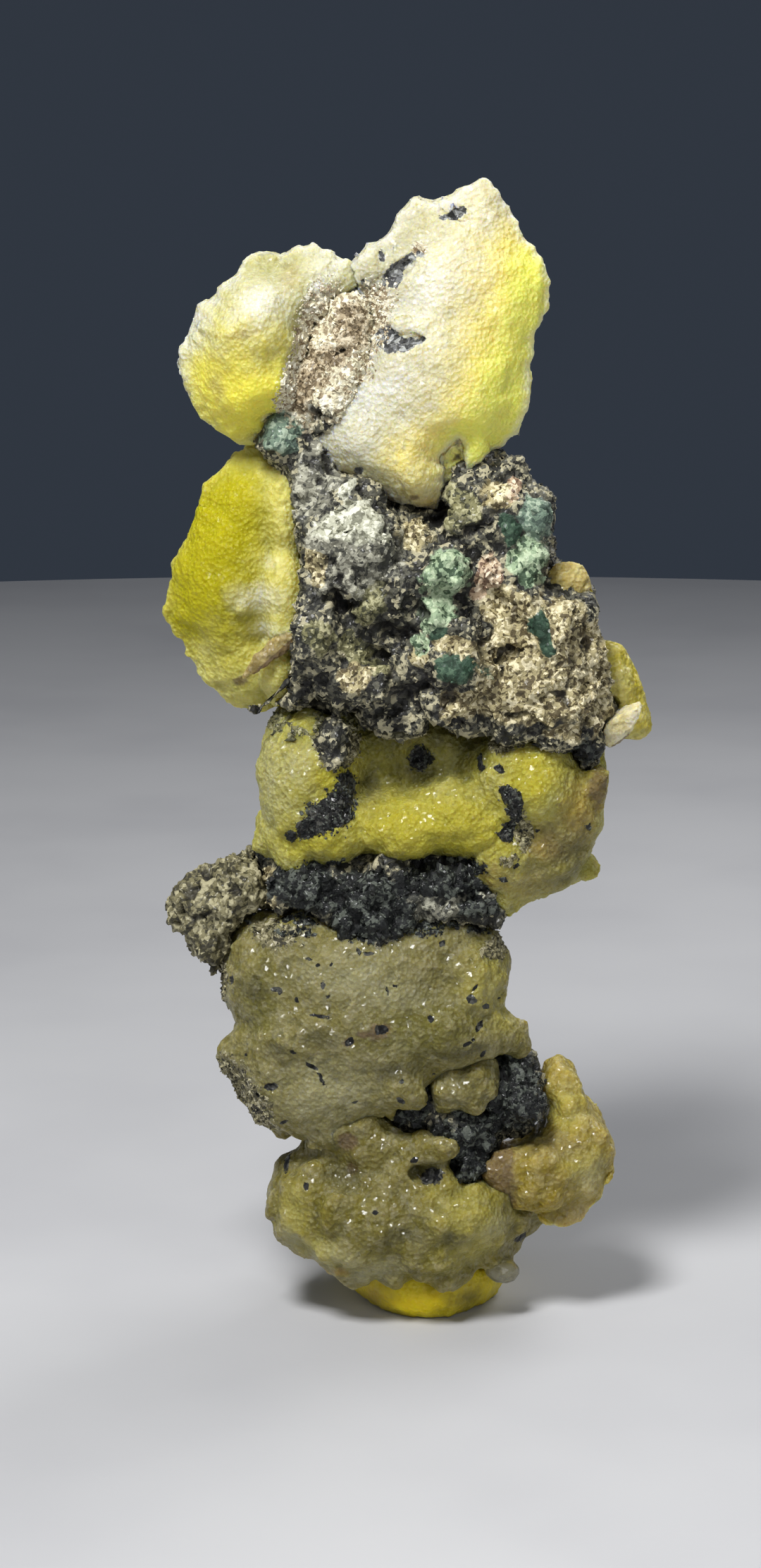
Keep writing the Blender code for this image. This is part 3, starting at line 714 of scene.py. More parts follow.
def zones_of(at):
    """How far inside each kind of rock the points lie; the back has the same kinds in clouds."""
    place = bent(at, 0.9)
    found = {name: marked(place, "host_rock", marks, deep=4) for name, marks in ZONES.items()}
    behind = soft_step(at[:, 1], -4, 2)
    for seed, (name, (size, bar)) in enumerate(BACK_ZONES.items()):
        patch = 0.5 + 0.5 * (clouds(at, size, 80 + seed, layers=2) - bar)
        found[name] = np.maximum(found[name], patch * behind)
    return found


print(len(ZONES), "kinds of rock in", sum(len(marks) for marks in ZONES.values()), "patches")

# %% Lumps of the rock
ROCK_LUMPS = [
    # middle, half sizes, turn
    ((-6.8, -9.8, 82.8), (5.2, 4.6, 4.2)),        # frosted dome
    ((-5.4, -10.5, 77), (2.2, 3, 3), -20),
    ((2.6, -9, 80.4), (3.2, 4.4, 3.3)),           # bright green nodule
    ((1, -10.5, 75.8), (2, 4, 2.2)),
    ((3.7, -12.4, 70.7), (2.5, 3, 2.1), -10),     # dark green eye
    ((11.8, -9.8, 74.2), (1.4, 3.8, 3.1), 5),
    ((3.4, -10.5, 66.8), (3.2, 3.4, 1.5), 10),    # tan ledge
    ((-7.2, -11, 69.9), (2, 3, 1.9)),
    ((11.6, -6, 85.4), (2, 3.4, 3.2)),            # teal knob
    ((10.8, -8.5, 81), (2.3, 3.2, 2.4)),
    ((7.4, -7.8, 86.4), (3, 3.2, 2.6)),
    ((6.8, -9.4, 80), (1.7, 3, 2)),
    ((12.5, -10, 69.5), (4.2, 3.2, 5.4), -30),    # tan crumble
    ((16.2, -7.4, 70.2), (2.2, 3, 4), -20),
    ((17, -6, 67.4), (1.9, 2.6, 2.2)),
    ((15.4, -7.8, 75.2), (2.4, 3, 2.8), -30),
    ((15.5, -8.5, 63.8), (2.8, 2.8, 1.7), 20),
    ((17, -7.6, 61.6), (1.7, 2.2, 1.7)),          # black knob
    ((-11.2, -6.2, 89.3), (2.2, 3.2, 4), -10),
    ((-14.4, -5.8, 94), (2.3, 2.6, 2.3)),         # teal patch under the shoulder
    ((-10.8, -6.2, 98.6), (2.6, 2.7, 4.4), -25),  # neck
    ((-9.2, -6.4, 101.8), (2.6, 2.7, 3.8), -25),
    ((-7.8, -6.2, 104.8), (2.9, 2.6, 3.4), -20),
    ((-2.8, -8.6, 64.8), (4.2, 3.8, 2.4)),        # ragged underside
    ((-9.4, -9.8, 62), (2.1, 2.6, 3.2), -10),
    ((4.2, -9, 64.6), (2.8, 3.4, 1.8)),
    ((9.2, -9.6, 64.2), (3, 3.2, 1.9), -10),
    ((13.4, -9.4, 62.8), (2.6, 3, 1.8), -20),
    ((-5.8, -9.6, 46.4), (3.6, 3, 2.6)),          # the dark band
    ((-4.6, -10.6, 43), (1.9, 2.4, 3.4), 12),
    ((-7.6, -10.2, 43.6), (1.3, 2.2, 2.6), -14),
    ((-2, -10, 44.6), (1.5, 2.2, 2.2), -30),
    ((-12, -8.6, 47), (3.6, 3, 1.9), -20),
    ((-10.2, -9.4, 45), (1.6, 2.4, 2.2), 25),
    ((-14.6, -8.2, 46), (1.6, 2.4, 2)),
    ((1.2, -9.2, 47.2), (4.6, 3, 1.7), 10),
    ((2, -9.6, 45), (2.4, 2.6, 1.8), 15),
    ((5.4, -8.8, 44.6), (2.8, 2.8, 1.6), 28),
    ((7.4, -8.2, 43.4), (1.4, 2.2, 1.3), 40),
]
ROCK_EDGE = [
    (-40, 130), (40, 130), (40, -10), (-40, -10), (-40, 64), (-13.6, 66), (-13.4, 70), (-12.9, 74),
    (-12.4, 80), (-12.6, 84), (-13.8, 89), (-17.4, 92.8), (-40, 93),
]
print(len(ROCK_LUMPS), "lumps")

# %% The rock skin
rock = grow_skin(
    "rock_matrix", "host_rock", cell=0.39,
    buds=ROCK_LUMPS + buds_on("host_rock", 380, (0.6, 1.5), seed=13, sunk=0.6),
)
fit_rim(rock, ROCK_EDGE)

# %% The surface of the rock
zones = zones_of(rock.at)
fibrous = soft_step(zones["blue"], 0.45, 0.65)
nodule = soft_step(np.maximum(zones["bottle"], zones["teal"]), 0.4, 0.7)
fine_neck = soft_step(zones["neck"], 0.4, 0.6)
calm = np.maximum(np.maximum(fibrous * 0.3, nodule * 0.8), fine_neck * 0.75)
void = soft_step(zones["void"], 0.45, 0.8)
FIBRE_SQUEEZE = np.array((1.0, 1.0, 0.45))
ROCK_SWELL = 0.15                     # mm, the whole rock grows by this to cover its solid
VOID_DEEP = 1.1                       # mm
cell = crowd(rock.at, 1.2, 71)[0]
coarse = (1 - calm) * (0.22 * (heads(rock.at, 2.4, 73) - 0.6) + 0.24 * broken(rock.at, 1.2, 71))
clumps = (1 - nodule) * (1 - fine_neck) * (1 - fibrous) * 0.7 * (heads(rock.at, 6.0, 77) - 0.65)
fibres = fibrous * (0.4 * broken(rock.at * FIBRE_SQUEEZE, 1.5, 79) + 0.3 * broken(rock.at, 0.8, 78))
fine = (1 - 0.6 * nodule) * 0.13 * broken(rock.at, 0.65, 75)
height = coarse + clumps + fibres + fine + 0.2 * clouds(rock.at, 2.0, 72) - VOID_DEEP * void
rock.push(ROCK_SWELL + height)
print("the rock rises by", height.max().round(2), "mm and sinks by", -height.min().round(2), "mm")
rock.paint("tone", cell_number(cell, 74))
# painted shade: the sunk parts of the relief and the voids, which the finish darkens
rock.paint("hollow", np.maximum(soft_step(-height, 0.15, 0.95), void))
for name, inside in zones.items():
    rock.paint(name, inside)

# %% [markdown]
# ### The finish of the rock
# Real grains differ from one to the next, with hard edges between them. A smooth noise would
# blur them together, so the colour comes from the tone of each cell of the skin, with still
# smaller cells inside it. The hollows and voids are darkened as painted shade, and the clear
# coat lets some grains flash.

# %% The rock finish
ROCK_KINDS = {
    # kind     dark grains              middle                   light grains             noise size
    "olive": ((0.05, 0.05, 0.025), (0.20, 0.19, 0.09), (0.42, 0.40, 0.23), 1.0),
    "grey": ((0.05, 0.05, 0.04), (0.19, 0.185, 0.14), (0.46, 0.45, 0.35), 1.0),
    "tan": ((0.11, 0.085, 0.04), (0.42, 0.36, 0.19), (0.78, 0.70, 0.46), 1.3),
    "lace": ((0.05, 0.045, 0.022), (0.195, 0.175, 0.09), (0.42, 0.385, 0.235), 0.8),
    "pink": ((0.18, 0.11, 0.07), (0.50, 0.37, 0.24), (0.80, 0.68, 0.50), 0.9),
    "white": ((0.21, 0.21, 0.15), (0.47, 0.47, 0.36), (0.74, 0.74, 0.60), 1.2),
    "green": ((0.06, 0.10, 0.055), (0.32, 0.42, 0.26), (0.52, 0.62, 0.41), 0.8),
    "teal": ((0.06, 0.09, 0.07), (0.15, 0.215, 0.155), (0.36, 0.44, 0.33), 0.9),
    "bottle": ((0.014, 0.036, 0.019), (0.033, 0.070, 0.042), (0.08, 0.14, 0.085), 0.5),
    "neck": ((0.34, 0.27, 0.17), (0.74, 0.68, 0.48), (0.90, 0.87, 0.72), 0.6),
    "stem": ((0.15, 0.11, 0.06), (0.40, 0.32, 0.20), (0.64, 0.56, 0.40), 0.6),
    "blue": ((0.004, 0.005, 0.005), (0.009, 0.011, 0.010), (0.085, 0.095, 0.078), 0.9),
}
BLACK_GRAINS = ((0.016, 0.016, 0.013), (0.098, 0.095, 0.070), (0.42, 0.385, 0.25))
HOLLOW_SHADE = (0.012, 0.011, 0.010)

stone = Finish("rock_finish", BLACK_GRAINS[1])
own_tone = stone.times(stone.painted("tone"), 0.4)
fleck = stone.maths("MULTIPLY_ADD", stone.cells(0.42, "Color"), 0.6, own_tone)
stone.coat(BLACK_GRAINS[2], stone.step(fleck, 0.60, 0.66))
stone.coat(BLACK_GRAINS[0], stone.step(fleck, 0.50, 0.42))
for name, (*kind, size) in ROCK_KINDS.items():
    stone.grainy(stone.mask(name, 0.48, 0.56, ragged=0.16, size=size), kind, fleck)
# painted shade in the hollows and voids
stone.coat(HOLLOW_SHADE, stone.mask("hollow", 0.2, 0.9), 0.85)
stone.relief(stone.noise(0.4, 4.0), 0.25)
stone.sparkle(0.3, 0.45)
rock_finish = stone.done(
    {"Roughness": 0.6, "Specular IOR Level": 0.3, "Coat Weight": 0.22, "Coat Roughness": 0.2}
)
dress(rock, rock_finish)

# %% [markdown]
# ### Crumbs
# The edge of the real rock is ragged with crumbs that stand free. They are scattered as loose
# grains, most of them on the front and on the crumbly kinds of rock.

# %% Crumbs on the rock
front = soft_step(-rock.out[:, 1], -0.5, 0.3)
crumbly = np.maximum(soft_step(zones["tan"], 0.4, 0.6), soft_step(zones["pink"], 0.4, 0.6))
wanted = (0.25 + 0.75 * front) * (1 - 0.9 * calm) * (0.5 + crumbly) * (1 - 0.8 * void)
crumbs = scatter("rock_crumbs", rock, wanted, 12000, (0.14, 0.6), seed=15)
dress(crumbs, rock_finish)

# %% [markdown]
# ## Brucite
# Brucite is waxy: light enters, wanders a few tenths of a millimetre to a few millimetres and
# comes out yellow, so thin rims glow and cracks look soft. That is subsurface scattering; a
# plain yellow would look like paint. On top lies a druse, a sugar of tiny crystals, which is bump
# plus a clear coat that sparkles. All the lobes share one recipe, and each has its own colours,
# depth of light and masks.

# %% Colours of the coats
# the milky white of the wax, also laid on as painted sheen and as the painted glow of the rim
MILK_AND_SHEEN_WHITE = (0.86, 0.85, 0.76)
GLOW = (1.0, 0.80, 0.25)              # how far red, green and blue light wander, as shares
STAINS = {
    # mask      colour              low   high  ragged size  share
    # satin: the frosty white of the wax, partly painted sheen
    "satin": (MILK_AND_SHEEN_WHITE, 0.05, 0.95, 0.24, 1.0, 0.42),
    # white: painted highlight
    "white": ((0.90, 0.90, 0.86), 0.20, 1.00, 0.45, 0.5, 0.42),
    "lemon": (None, 0.05, 0.70, 0.12, 2.0, 0.95),
    # rim: painted pale glow along the outline of a lobe
    "rim": (MILK_AND_SHEEN_WHITE, 0.30, 1.00, 0.25, 0.8, 0.45),
    "straw": ((0.42, 0.37, 0.08), 0.10, 0.90, 0.22, 1.2, 0.60),
    "mist": ((0.42, 0.40, 0.23), 0.05, 0.95, 0.22, 1.2, 0.45),
    "tea": ((0.42, 0.34, 0.16), 0.20, 0.90, 0.20, 0.9, 0.50),
    "amber": ((0.34, 0.23, 0.05), 0.30, 0.90, 0.22, 0.8, 0.70),
    "umber": ((0.14, 0.09, 0.045), 0.40, 0.75, 0.25, 0.7, 0.80),
    "shade": ((0.06, 0.055, 0.02), 0.20, 1.00, 0.15, 1.2, 0.70),
}
# the dark, the middle and the light grains of each crust
BUFF_GRAINS = ((0.10, 0.085, 0.035), (0.31, 0.28, 0.12), (0.56, 0.52, 0.31))
CRUST_GRAINS = ((0.26, 0.19, 0.11), (0.54, 0.47, 0.32), (0.76, 0.71, 0.55))
GRIT_GRAINS = ((0.05, 0.045, 0.03), (0.20, 0.18, 0.10), (0.45, 0.41, 0.27))
SLIT_GRAINS = ((0.07, 0.071, 0.070), (0.18, 0.184, 0.180), (0.40, 0.41, 0.39))
BLACK_CRUST = ((0.008, 0.008, 0.008), (0.016, 0.016, 0.015), (0.07, 0.07, 0.06))
RICHER = (1.10, 1.10, 0.60)           # how lemon differs from the deep colour of a lobe
MILKY = 0.28                          # how far milky wax leans to satin white
CLEAR = 0.45                          # clear wax against the deep colour
print("stains:", ", ".join(STAINS))

# %% The brucite recipe
def brucite(
    name, pale, deep, skin, glow=2.2, milk=0.25, depth=0.3, sugar=0.45, rough=0.10, gloss=0.22,
    streaks=None, crust=GRIT_GRAINS, black=BLACK_CRUST,
):
    """The finish of one lobe, with a coat for every mask that its skin was painted with."""
    finish = Finish(name, pale)
    masks = skin.painted
    fine = finish.cells(0.5, "Color")
    if "deep" in masks:
        finish.coat(deep, finish.mask("deep", 0.15, 0.85, ragged=0.15, size=1.8))
    milky = tuple((1 - MILKY) * a + MILKY * b for a, b in zip(pale, MILK_AND_SHEEN_WHITE))
    clear = tuple(CLEAR * value for value in deep)
    finish.coat(clear, finish.step(finish.noise(4.5, 4.0), 0.50, 0.30), depth)
    finish.coat(milky, finish.step(finish.noise(2.2, 4.0), 0.45, 0.75), milk)
    # painted light on the heads and painted shade in the pits
    finish.coat(milky, finish.painted("head"), milk)
    finish.coat(clear, finish.painted("pit"), depth)
    finish.coat(clear, finish.step(fine, 0.42, 0.22), 0.4 * depth)
    finish.coat(milky, finish.step(fine, 0.62, 0.82), 1.1 * milk)
    lemon = tuple(a * b for a, b in zip(deep, RICHER))
    for mask, (colour, *edge, share) in STAINS.items():
        if mask in masks:
            finish.coat(colour or lemon, finish.mask(mask, *edge), share)
    opaque = None
    for mask, kind, ragged, size in (("crust", crust, 0.42, 0.45), ("black", black, 0.20, 0.4)):
        if mask in masks:
            share = finish.mask(mask, 0.5, 0.56, ragged, size)
            finish.grainy(share, kind, fine)
            opaque = share if opaque is None else finish.maths("MAXIMUM", share, opaque)
    finish.relief(finish.cells(sugar, "Distance"), 1.6 * rough)
    finish.relief(finish.noise(0.35, 3.0), rough)
    if streaks is not None:
        finish.relief(finish.noise(0.5, 3.0, finish.streaked(*streaks)), 1.3 * rough)
    weight, roughness = 0.9, 0.45
    if opaque is not None:
        weight = finish.maths("MULTIPLY_ADD", opaque, -0.8, weight)
        roughness = finish.maths("MULTIPLY_ADD", opaque, 0.25, roughness)
    finish.sparkle(0.42, 0.5)
    return finish.done({
        "Subsurface Weight": weight, "Subsurface Radius": GLOW, "Subsurface Scale": glow * MM,
        "Roughness": roughness, "Coat Weight": gloss, "Coat Roughness": 0.15, "IOR": 1.5,
        "Specular IOR Level": 0.2,
    })


# %% Roughening and marking a lobe
def roughen(skin, swell, size, faces, depth, seed):
    """Soft swellings, then broken faces of two sizes, and masks of the heads and the pits."""
    swelling = clouds(skin.at, size, seed + 20, layers=2)
    scales = broken(skin.at, faces, seed) + 0.6 * broken(skin.at, 0.5 * faces, seed + 9)
    skin.push(swell * swelling + depth * scales)
    # masks for painted light on the heads and painted shade in the pits
    skin.paint("head", soft_step(scales + 0.4 * swelling, 0.2, 1.4))
    skin.paint("pit", soft_step(-scales - 0.4 * swelling, 0.3, 1.5))


def paint_marks(skin, masks, bend=0.5):
    """Paints several masks, each from its list of ovals."""
    place = bent(skin.at, bend)
    for name, marks in masks.items():
        skin.paint(name, marked(place, skin.node, marks, deep=4))


# %% [markdown]
# ### The crown lobe
# The tallest lobe is a cream shell, yellow to the right, with a frosty white across its left
# half that is partly painted sheen, and painted highlights on its whitest spots. Sunk lumps give
# it its tongue and its lower corner, and the front is pressed flatter, because a skin over coarse
# facets comes out too round. Three slits show grey grains inside, and the brown crust of the neck
# creeps over its left side.

# %% Edge, lumps and marks of the crown
CROWN_EDGE = [
    (-8, 110.5), (-7, 111.8), (-5.8, 112.8), (-4.2, 113), (-3.2, 114.8), (-2.2, 116.2),
    (-1.2, 117.4), (0.2, 117.2), (1.6, 116.8), (2.6, 117.4), (3.1, 118.2), (4.8, 118.8),
    (5.8, 119.5), (6.5, 119.4), (7.6, 118.2), (8.8, 116.4), (10, 113.6), (12.2, 111), (12.8, 108.6),
    (12.6, 105.8), (11.4, 103.4), (11.2, 101), (10.8, 96.6), (9.8, 93.2), (8, 92), (6.4, 91),
    (4.4, 89), (3.9, 89.4), (3.5, 91.2), (3.7, 92.9), (2.8, 91.9), (2, 91.2), (2.4, 89.4),
    (2.4, 87.2), (1.4, 85.3), (0.6, 85.2), (-1, 85.8), (-3.4, 86.4), (-4.2, 87.2), (-7, 87.2),
    (-8.4, 89), (-10.8, 91.4), (-11.9, 93.4), (-11.6, 95.6), (-9.6, 98.2), (-7.6, 101), (-6.6, 104),
    (-6.6, 107),
]
CROWN_LUMPS = [
    ((-1.6, -5.6, 92.6), (7.6, 5.8, 8.6), 15),    # the tongue, a flat plate
    ((-7, -5.4, 93.4), (5.6, 5, 5), 30),
    ((-7.4, -6.2, 97.4), (5.4, 4.2, 4), 40),
    ((4.6, -8.4, 91.4), (1.6, 2.8, 2.9), -20),    # the pointed corner at the lower right
    ((-5.8, -7, 110.8), (1.7, 2.4, 2.3)),         # the bead where the two lobes meet
]
CROWN_MASKS = {
    "deep": [(11, 103, 9.5, 14, 5), (7.5, 95, 9.5, 7.5, 30), (-1, 90.6, 3.4, 4.4)],
    "lemon": [(12, 105, 3.8, 8.5), (9.2, 97, 4.4, 7, -8), (6.2, 93.4, 4.6, 3.4, 30)],
    "mist": [(-0.6, 88.8, 2.6, 2.4), (-5.6, 90, 3, 1.4, -20)],
    "tea": [(0.2, 86.8, 2.2, 1.4, 10), (-6.2, 89.2, 2.6, 1.2, -20)],
    # frosty white, partly painted sheen
    "satin": [
        (-5, 97.4, 6.6, 3.4, 30), (-7.4, 93.4, 3.2, 1.9), (1.4, 109.7, 3.6, 5.6, -30),
        (-0.9, 104.4, 3.6, 3.4), (4.6, 115.6, 3, 2.6),
    ],
    # painted highlights
    "white": [(-3.8, 98.8, 3.2, 1, 32), (0.6, 108.4, 1.8, 3.2, -30)],
    "amber": [(0.6, 86.2, 2.1, 0.9, 12), (-6.6, 89.2, 2.2, 0.8, -20)],
    "umber": [(0.9, 85.6, 1.6, 0.5, 8), (-0.8, 87.3, 0.6, 0.4), (-3.6, 87, 1.6, 0.5, -12)],
    "crust": [(-5.6, 105, 2.2, 4, -20), (-7.9, 99.6, 2, 4.2, -35), (-0.6, 112.2, 0.8, 0.6, 40)],
    "groove": [(3.3, 90.8, 0.55, 3, -8)],
    "black": [
        (2.9, 115.6, 1.1, 0.7, 12), (1.6, 115.3, 0.5, 0.3), (-3.2, 109.4, 1.3, 1, 48),
        (-2, 110.8, 1.5, 0.6, 42), (-4.3, 111.2, 0.35, 0.5, 30), (-0.5, 111.8, 0.4, 0.3),
        (-3.6, 103.3, 1.8, 1.2, -8), (-1.7, 103.1, 1.2, 0.7), (-0.6, 103.4, 1, 0.4, 18),
        (-6.2, 108.9, 0.3, 0.3), (-6.8, 90.2, 0.5, 0.4),
    ],
}
print("the crown has an edge of", len(CROWN_EDGE), "corners and these marks:", *CROWN_MASKS)

# %% The crown lobe
SLIT_DEEP = 0.2                       # mm, slits and specks lie a little under the surface
GROOVE_DEEP = 1.4
crown = grow_skin(
    "crown_brucite", "crown_lobe", cell=0.26,
    buds=CROWN_LUMPS + buds_on("crown_lobe", 300, (0.5, 1.1), seed=1, where=at_rim),
)
fit_rim(crown, scalloped(CROWN_EDGE, size=1.4, depths=(1.3, 0.4)), middle=-5.5)
pressed(crown, share=0.6, rounds=220)
roughen(crown, swell=0.2, size=3.0, faces=0.9, depth=0.05, seed=11)
paint_marks(crown, CROWN_MASKS, bend=0.35)
crown.push(-SLIT_DEEP * soft_step(crown.painted["black"], 0.45, 0.7))
crown.push(-GROOVE_DEEP * soft_step(crown.painted["groove"], 0.4, 0.75))
# painted shade: the groove also takes the dark umber coat, over the brown of the notch
crown.paint("umber", np.maximum(crown.painted["umber"], 1.2 * crown.painted["groove"]))
crown_wax = brucite(
    "crown_wax", (0.53, 0.51, 0.34), (0.96, 0.83, 0.28), crown, rough=0.18, streaks=(-32, 7),
    crust=CRUST_GRAINS, black=SLIT_GRAINS,
)
dress(crown, crown_wax)

# %% [markdown]
# ### The shoulder lobe
# The second lobe at the top is a dome of the same wax. Its rim is scalloped, with a painted pale
# glow along it. A white bloom lies on its upper half, partly frosty wax and partly painted sheen
# and highlight, and its lower half is the clearest yellow of the whole piece. Its solid is already
# a plain dome, so it needs neither lumps nor pressing, only buds along its rim.

# %% The shoulder lobe
SHOULDER_EDGE = [
    (-7.4, 111), (-8.6, 110.8), (-9.6, 111.6), (-12.2, 112.3), (-13.8, 111.2), (-16.4, 111.4),
    (-17.8, 110.5), (-18.7, 109), (-20.8, 107.2), (-21.6, 106.3), (-22.3, 106.3), (-22.8, 104.2),
    (-24.3, 102.2), (-24.5, 100.4), (-23.6, 97.6), (-22.2, 95.6), (-20.6, 93.9), (-17.8, 92.3),
    (-16.6, 93.2), (-15.8, 95.2), (-14, 95), (-12.4, 94), (-8, 96), (-6, 104), (-6, 110),
]
SHOULDER_MASKS = {
    "deep": [(-17.3, 99, 7.5, 6.5)],
    "lemon": [(-17.6, 96.6, 5.6, 3.6), (-21.4, 98.4, 1.6, 3, 20)],
    # frosty white, partly painted sheen
    "satin": [(-16.1, 107, 3, 2.2, 20), (-23, 103.4, 1.2, 2.8, -20), (-9.6, 110, 2.2, 1.6)],
    # painted highlight
    "white": [(-16.4, 107.2, 1.8, 1.2, 15), (-10.8, 108.2, 1.2, 1)],
    "tea": [(-13.4, 109.6, 1, 1.4), (-20.9, 98.6, 0.8, 2.2, 20), (-18, 104.4, 1.8, 0.4, 10)],
    "crust": [(-10.6, 103.4, 2.6, 5.4, -12), (-12.8, 98.4, 2, 4, -15)],
    "umber": [(-11.8, 97.8, 1, 1.6), (-14.2, 95.4, 1.6, 0.5)],
}
shoulder = grow_skin(
    "shoulder_brucite", "shoulder_lobe", cell=0.26,
    buds=buds_on("shoulder_lobe", 220, (0.5, 1.1), seed=3, where=at_rim),
)
fit_rim(shoulder, scalloped(SHOULDER_EDGE, size=1.6, depths=(1.1, 1.1)), middle=-5.5)
roughen(shoulder, swell=0.2, size=3.0, faces=0.9, depth=0.05, seed=21)
paint_marks(shoulder, SHOULDER_MASKS, bend=0.35)
shoulder_wax = brucite(
    "shoulder_wax", (0.51, 0.49, 0.235), (0.79, 0.71, 0.155), shoulder, rough=0.18, crust=CRUST_GRAINS,
)
dress(shoulder, shoulder_wax)

# %% [markdown]
# ### The fan lobe
# The fan is thinner than the others, so more light passes: its left half is a strong lemon and
# its right half a pale, pearly wax with a few small knobs. Light alone wouldn't make the lemon
# strong enough, so it is also a deeper coat, and the gloss is kept low, because it would grey it.

# %% The fan lobe
FAN_EDGE = [
    (-17, 92.7), (-18.8, 91), (-20.6, 89.2), (-22.2, 87.8), (-23, 85.8), (-23.8, 83), (-24.6, 81.4),
    (-25.8, 79.5), (-26, 77.2), (-26.7, 75), (-26, 72.8), (-24.4, 70.4), (-23.2, 69.4),
    (-22.4, 67.6), (-20.4, 65.8), (-18.8, 64.6), (-16.4, 64.6), (-14.5, 65.2), (-8, 66), (-8, 92),
]
FAN_LUMPS = [
    ((-14.4, -4.6, 84.5), (2.6, 3.2, 6.5)), ((-14.2, -6.2, 76.5), (2.6, 3.6, 6)),
    ((-14.8, -5.4, 69.6), (2.2, 3.2, 4)),
]
FAN_MASKS = {
    "deep": [(-21.4, 80.6, 5, 11.6, 5), (-24.7, 75.4, 2.6, 6)],
    "lemon": [(-20.9, 84.6, 3.6, 5.6, -20), (-23.6, 79, 2.4, 4.6)],
    "satin": [
        (-16.9, 77, 2.4, 1.4), (-15.2, 80.6, 1.2, 0.7, -20), (-18.4, 76.6, 0.7, 0.6),
        (-17.2, 76, 0.6, 0.6), (-16, 73.6, 1.4, 1),
    ],
    "umber": [(-18.6, 68.2, 1.2, 0.5, 35), (-16, 70.6, 1.6, 0.35, 40), (-14.4, 71.8, 1.4, 0.8, 40)],
}
fan = grow_skin(
    "fan_brucite", "fan_lobe", cell=0.26,
    buds=FAN_LUMPS + buds_on("fan_lobe", 120, (0.5, 1.0), seed=5, where=at_rim),
)
fit_rim(fan, scalloped(FAN_EDGE), middle=-3.5)
roughen(fan, swell=0.25, size=3.0, faces=1.2, depth=0.045, seed=31)
paint_marks(fan, FAN_MASKS, bend=0.3)
# the painted glow of the rim is kept, halved, only at the bottom of the fan
fan.paint("rim", 0.5 * fan.painted["rim"] * soft_step(fan.at[:, 2], 80, 70))
fan_wax = brucite(
    "fan_wax", (0.66, 0.61, 0.18), (0.385, 0.345, 0.002), fan, milk=0.10, rough=0.16, gloss=0.08,
)
dress(fan, fan_wax)

# %% [markdown]
# ### The belt
# The belt is a row of swollen lobes that grew together. Balls set side by side would meet in
# sharp seams, so sunk lumps are melted into one skin. Flakes of black crust lie on it in two
# patches, one mask that is both painted and pushed out. Its right end turns to brown, a stain that
# is deepened with painted shade where the belt turns away from the light, and painted shade lies
# along its top under the rock and in the creases between its lobes.

# %% Lumps and marks of the belt
BELT_LUMPS = [
    ((-11.8, -7, 58.4), (5.4, 5.2, 7)), ((-9.6, -7.6, 52.6), (4.6, 4.6, 3.8)),
    ((-1.8, -7.4, 53), (4.8, 4.8, 3.8)), ((4, -7.4, 54.2), (5.4, 5, 4.2), -25),
    ((11.4, -7.4, 57.6), (5.2, 5.2, 5.2), -15), ((13.4, -5.6, 55), (5.6, 5.2, 6.6), 10),
    ((8.6, -7, 50.4), (4.6, 4.6, 4.8)), ((12, -5.6, 50.4), (5.6, 5, 5), 25),
    ((9.2, -5.4, 46.8), (4.8, 4.4, 3.2), 25),
]
BELT_MASKS = {
    "deep": [(1.4, 53.2, 10.5, 5), (12.7, 59.5, 4, 3.2), (-8.5, 58, 4, 5), (14, 54, 4, 4)],
    "lemon": [(1.4, 53.4, 7, 2.6), (11, 58.8, 2, 2), (-9, 58.4, 1.6, 1.8), (-11.4, 52.6, 3, 1.4)],
    "mist": [(-15.6, 58.4, 1.6, 4.6), (-13, 60.4, 1.4, 1.8)],
    # tea: a brown stain at the right end, partly painted shade
    "tea": [(13.6, 52, 4.4, 3.4), (11, 47.4, 3.8, 2.4)],
    "amber": [(7.2, 48.6, 2.2, 1.9), (15.8, 55.6, 2.2, 3.8), (12.4, 51.6, 2.4, 1.6)],
    "umber": [(18, 57.4, 1.4, 2.6), (17.2, 52.8, 1.2, 1.6)],
    # painted shade under the rock, in the creases and on the right end
    "shade": [
        (-0.1, 63.4, 7.6, 4), (-5.2, 57, 1.2, 4.4, 10), (4.4, 61.4, 3, 2), (-2.6, 51, 0.9, 2.2),
        (15, 48.2, 3.6, 1.8, 30), (-1, 59.4, 3.4, 2.4), (14.6, 51, 3.2, 3.6, 10),
    ],
    "crust": [
        (-8.8, 62, 2.4, 2.2), (10.4, 53.6, 0.8, 2.2), (14.8, 62, 3, 1.4, 20), (8.6, 50.4, 1, 0.8),
        (8.6, 62.4, 1.6, 1),
    ],
    "black": [
        (-8, 57.6, 1.5, 1.8), (-9.2, 55.6, 3, 2.1, 22), (-11.8, 54.2, 1.6, 1, 15),
        (-9.1, 60.1, 0.5, 0.5), (-13.7, 53.2, 0.6, 0.6), (-0.7, 60.3, 1.2, 1.3),
        (6.1, 60.5, 0.4, 0.7), (7.8, 59.9, 0.6, 0.4, 20), (8.9, 57.3, 1.2, 1.1),
        (9.3, 55.5, 1, 2, -10), (8.7, 53.2, 1, 1), (17, 53.7, 0.6, 0.6), (10.4, 53.2, 0.4, 0.3),
        (11.6, 53.2, 0.3, 0.2), (9.7, 49.7, 0.4, 0.3), (8.6, 48.1, 0.3, 0.3),
    ],
}
print("the belt has", len(BELT_LUMPS), "lumps and these marks:", *BELT_MASKS)

# %% The belt
belt = grow_skin(
    "belt_brucite", "waist_lobes", cell=0.28,
    buds=BELT_LUMPS + buds_on("waist_lobes", 160, (0.5, 1.1), seed=7),
)
roughen(belt, swell=0.35, size=3.5, faces=1.0, depth=0.07, seed=41)
paint_marks(belt, BELT_MASKS, bend=0.6)
black = soft_step(belt.painted["black"], 0.5, 0.62)
belt.push(0.35 * black * heads(belt.at, 0.8, 43))
belt_wax = brucite(
    "belt_wax", (0.39, 0.36, 0.07), (0.40, 0.355, 0.06), belt, milk=0.2, rough=0.2, gloss=0.3,
    crust=BUFF_GRAINS,
)
dress(belt, belt_wax)
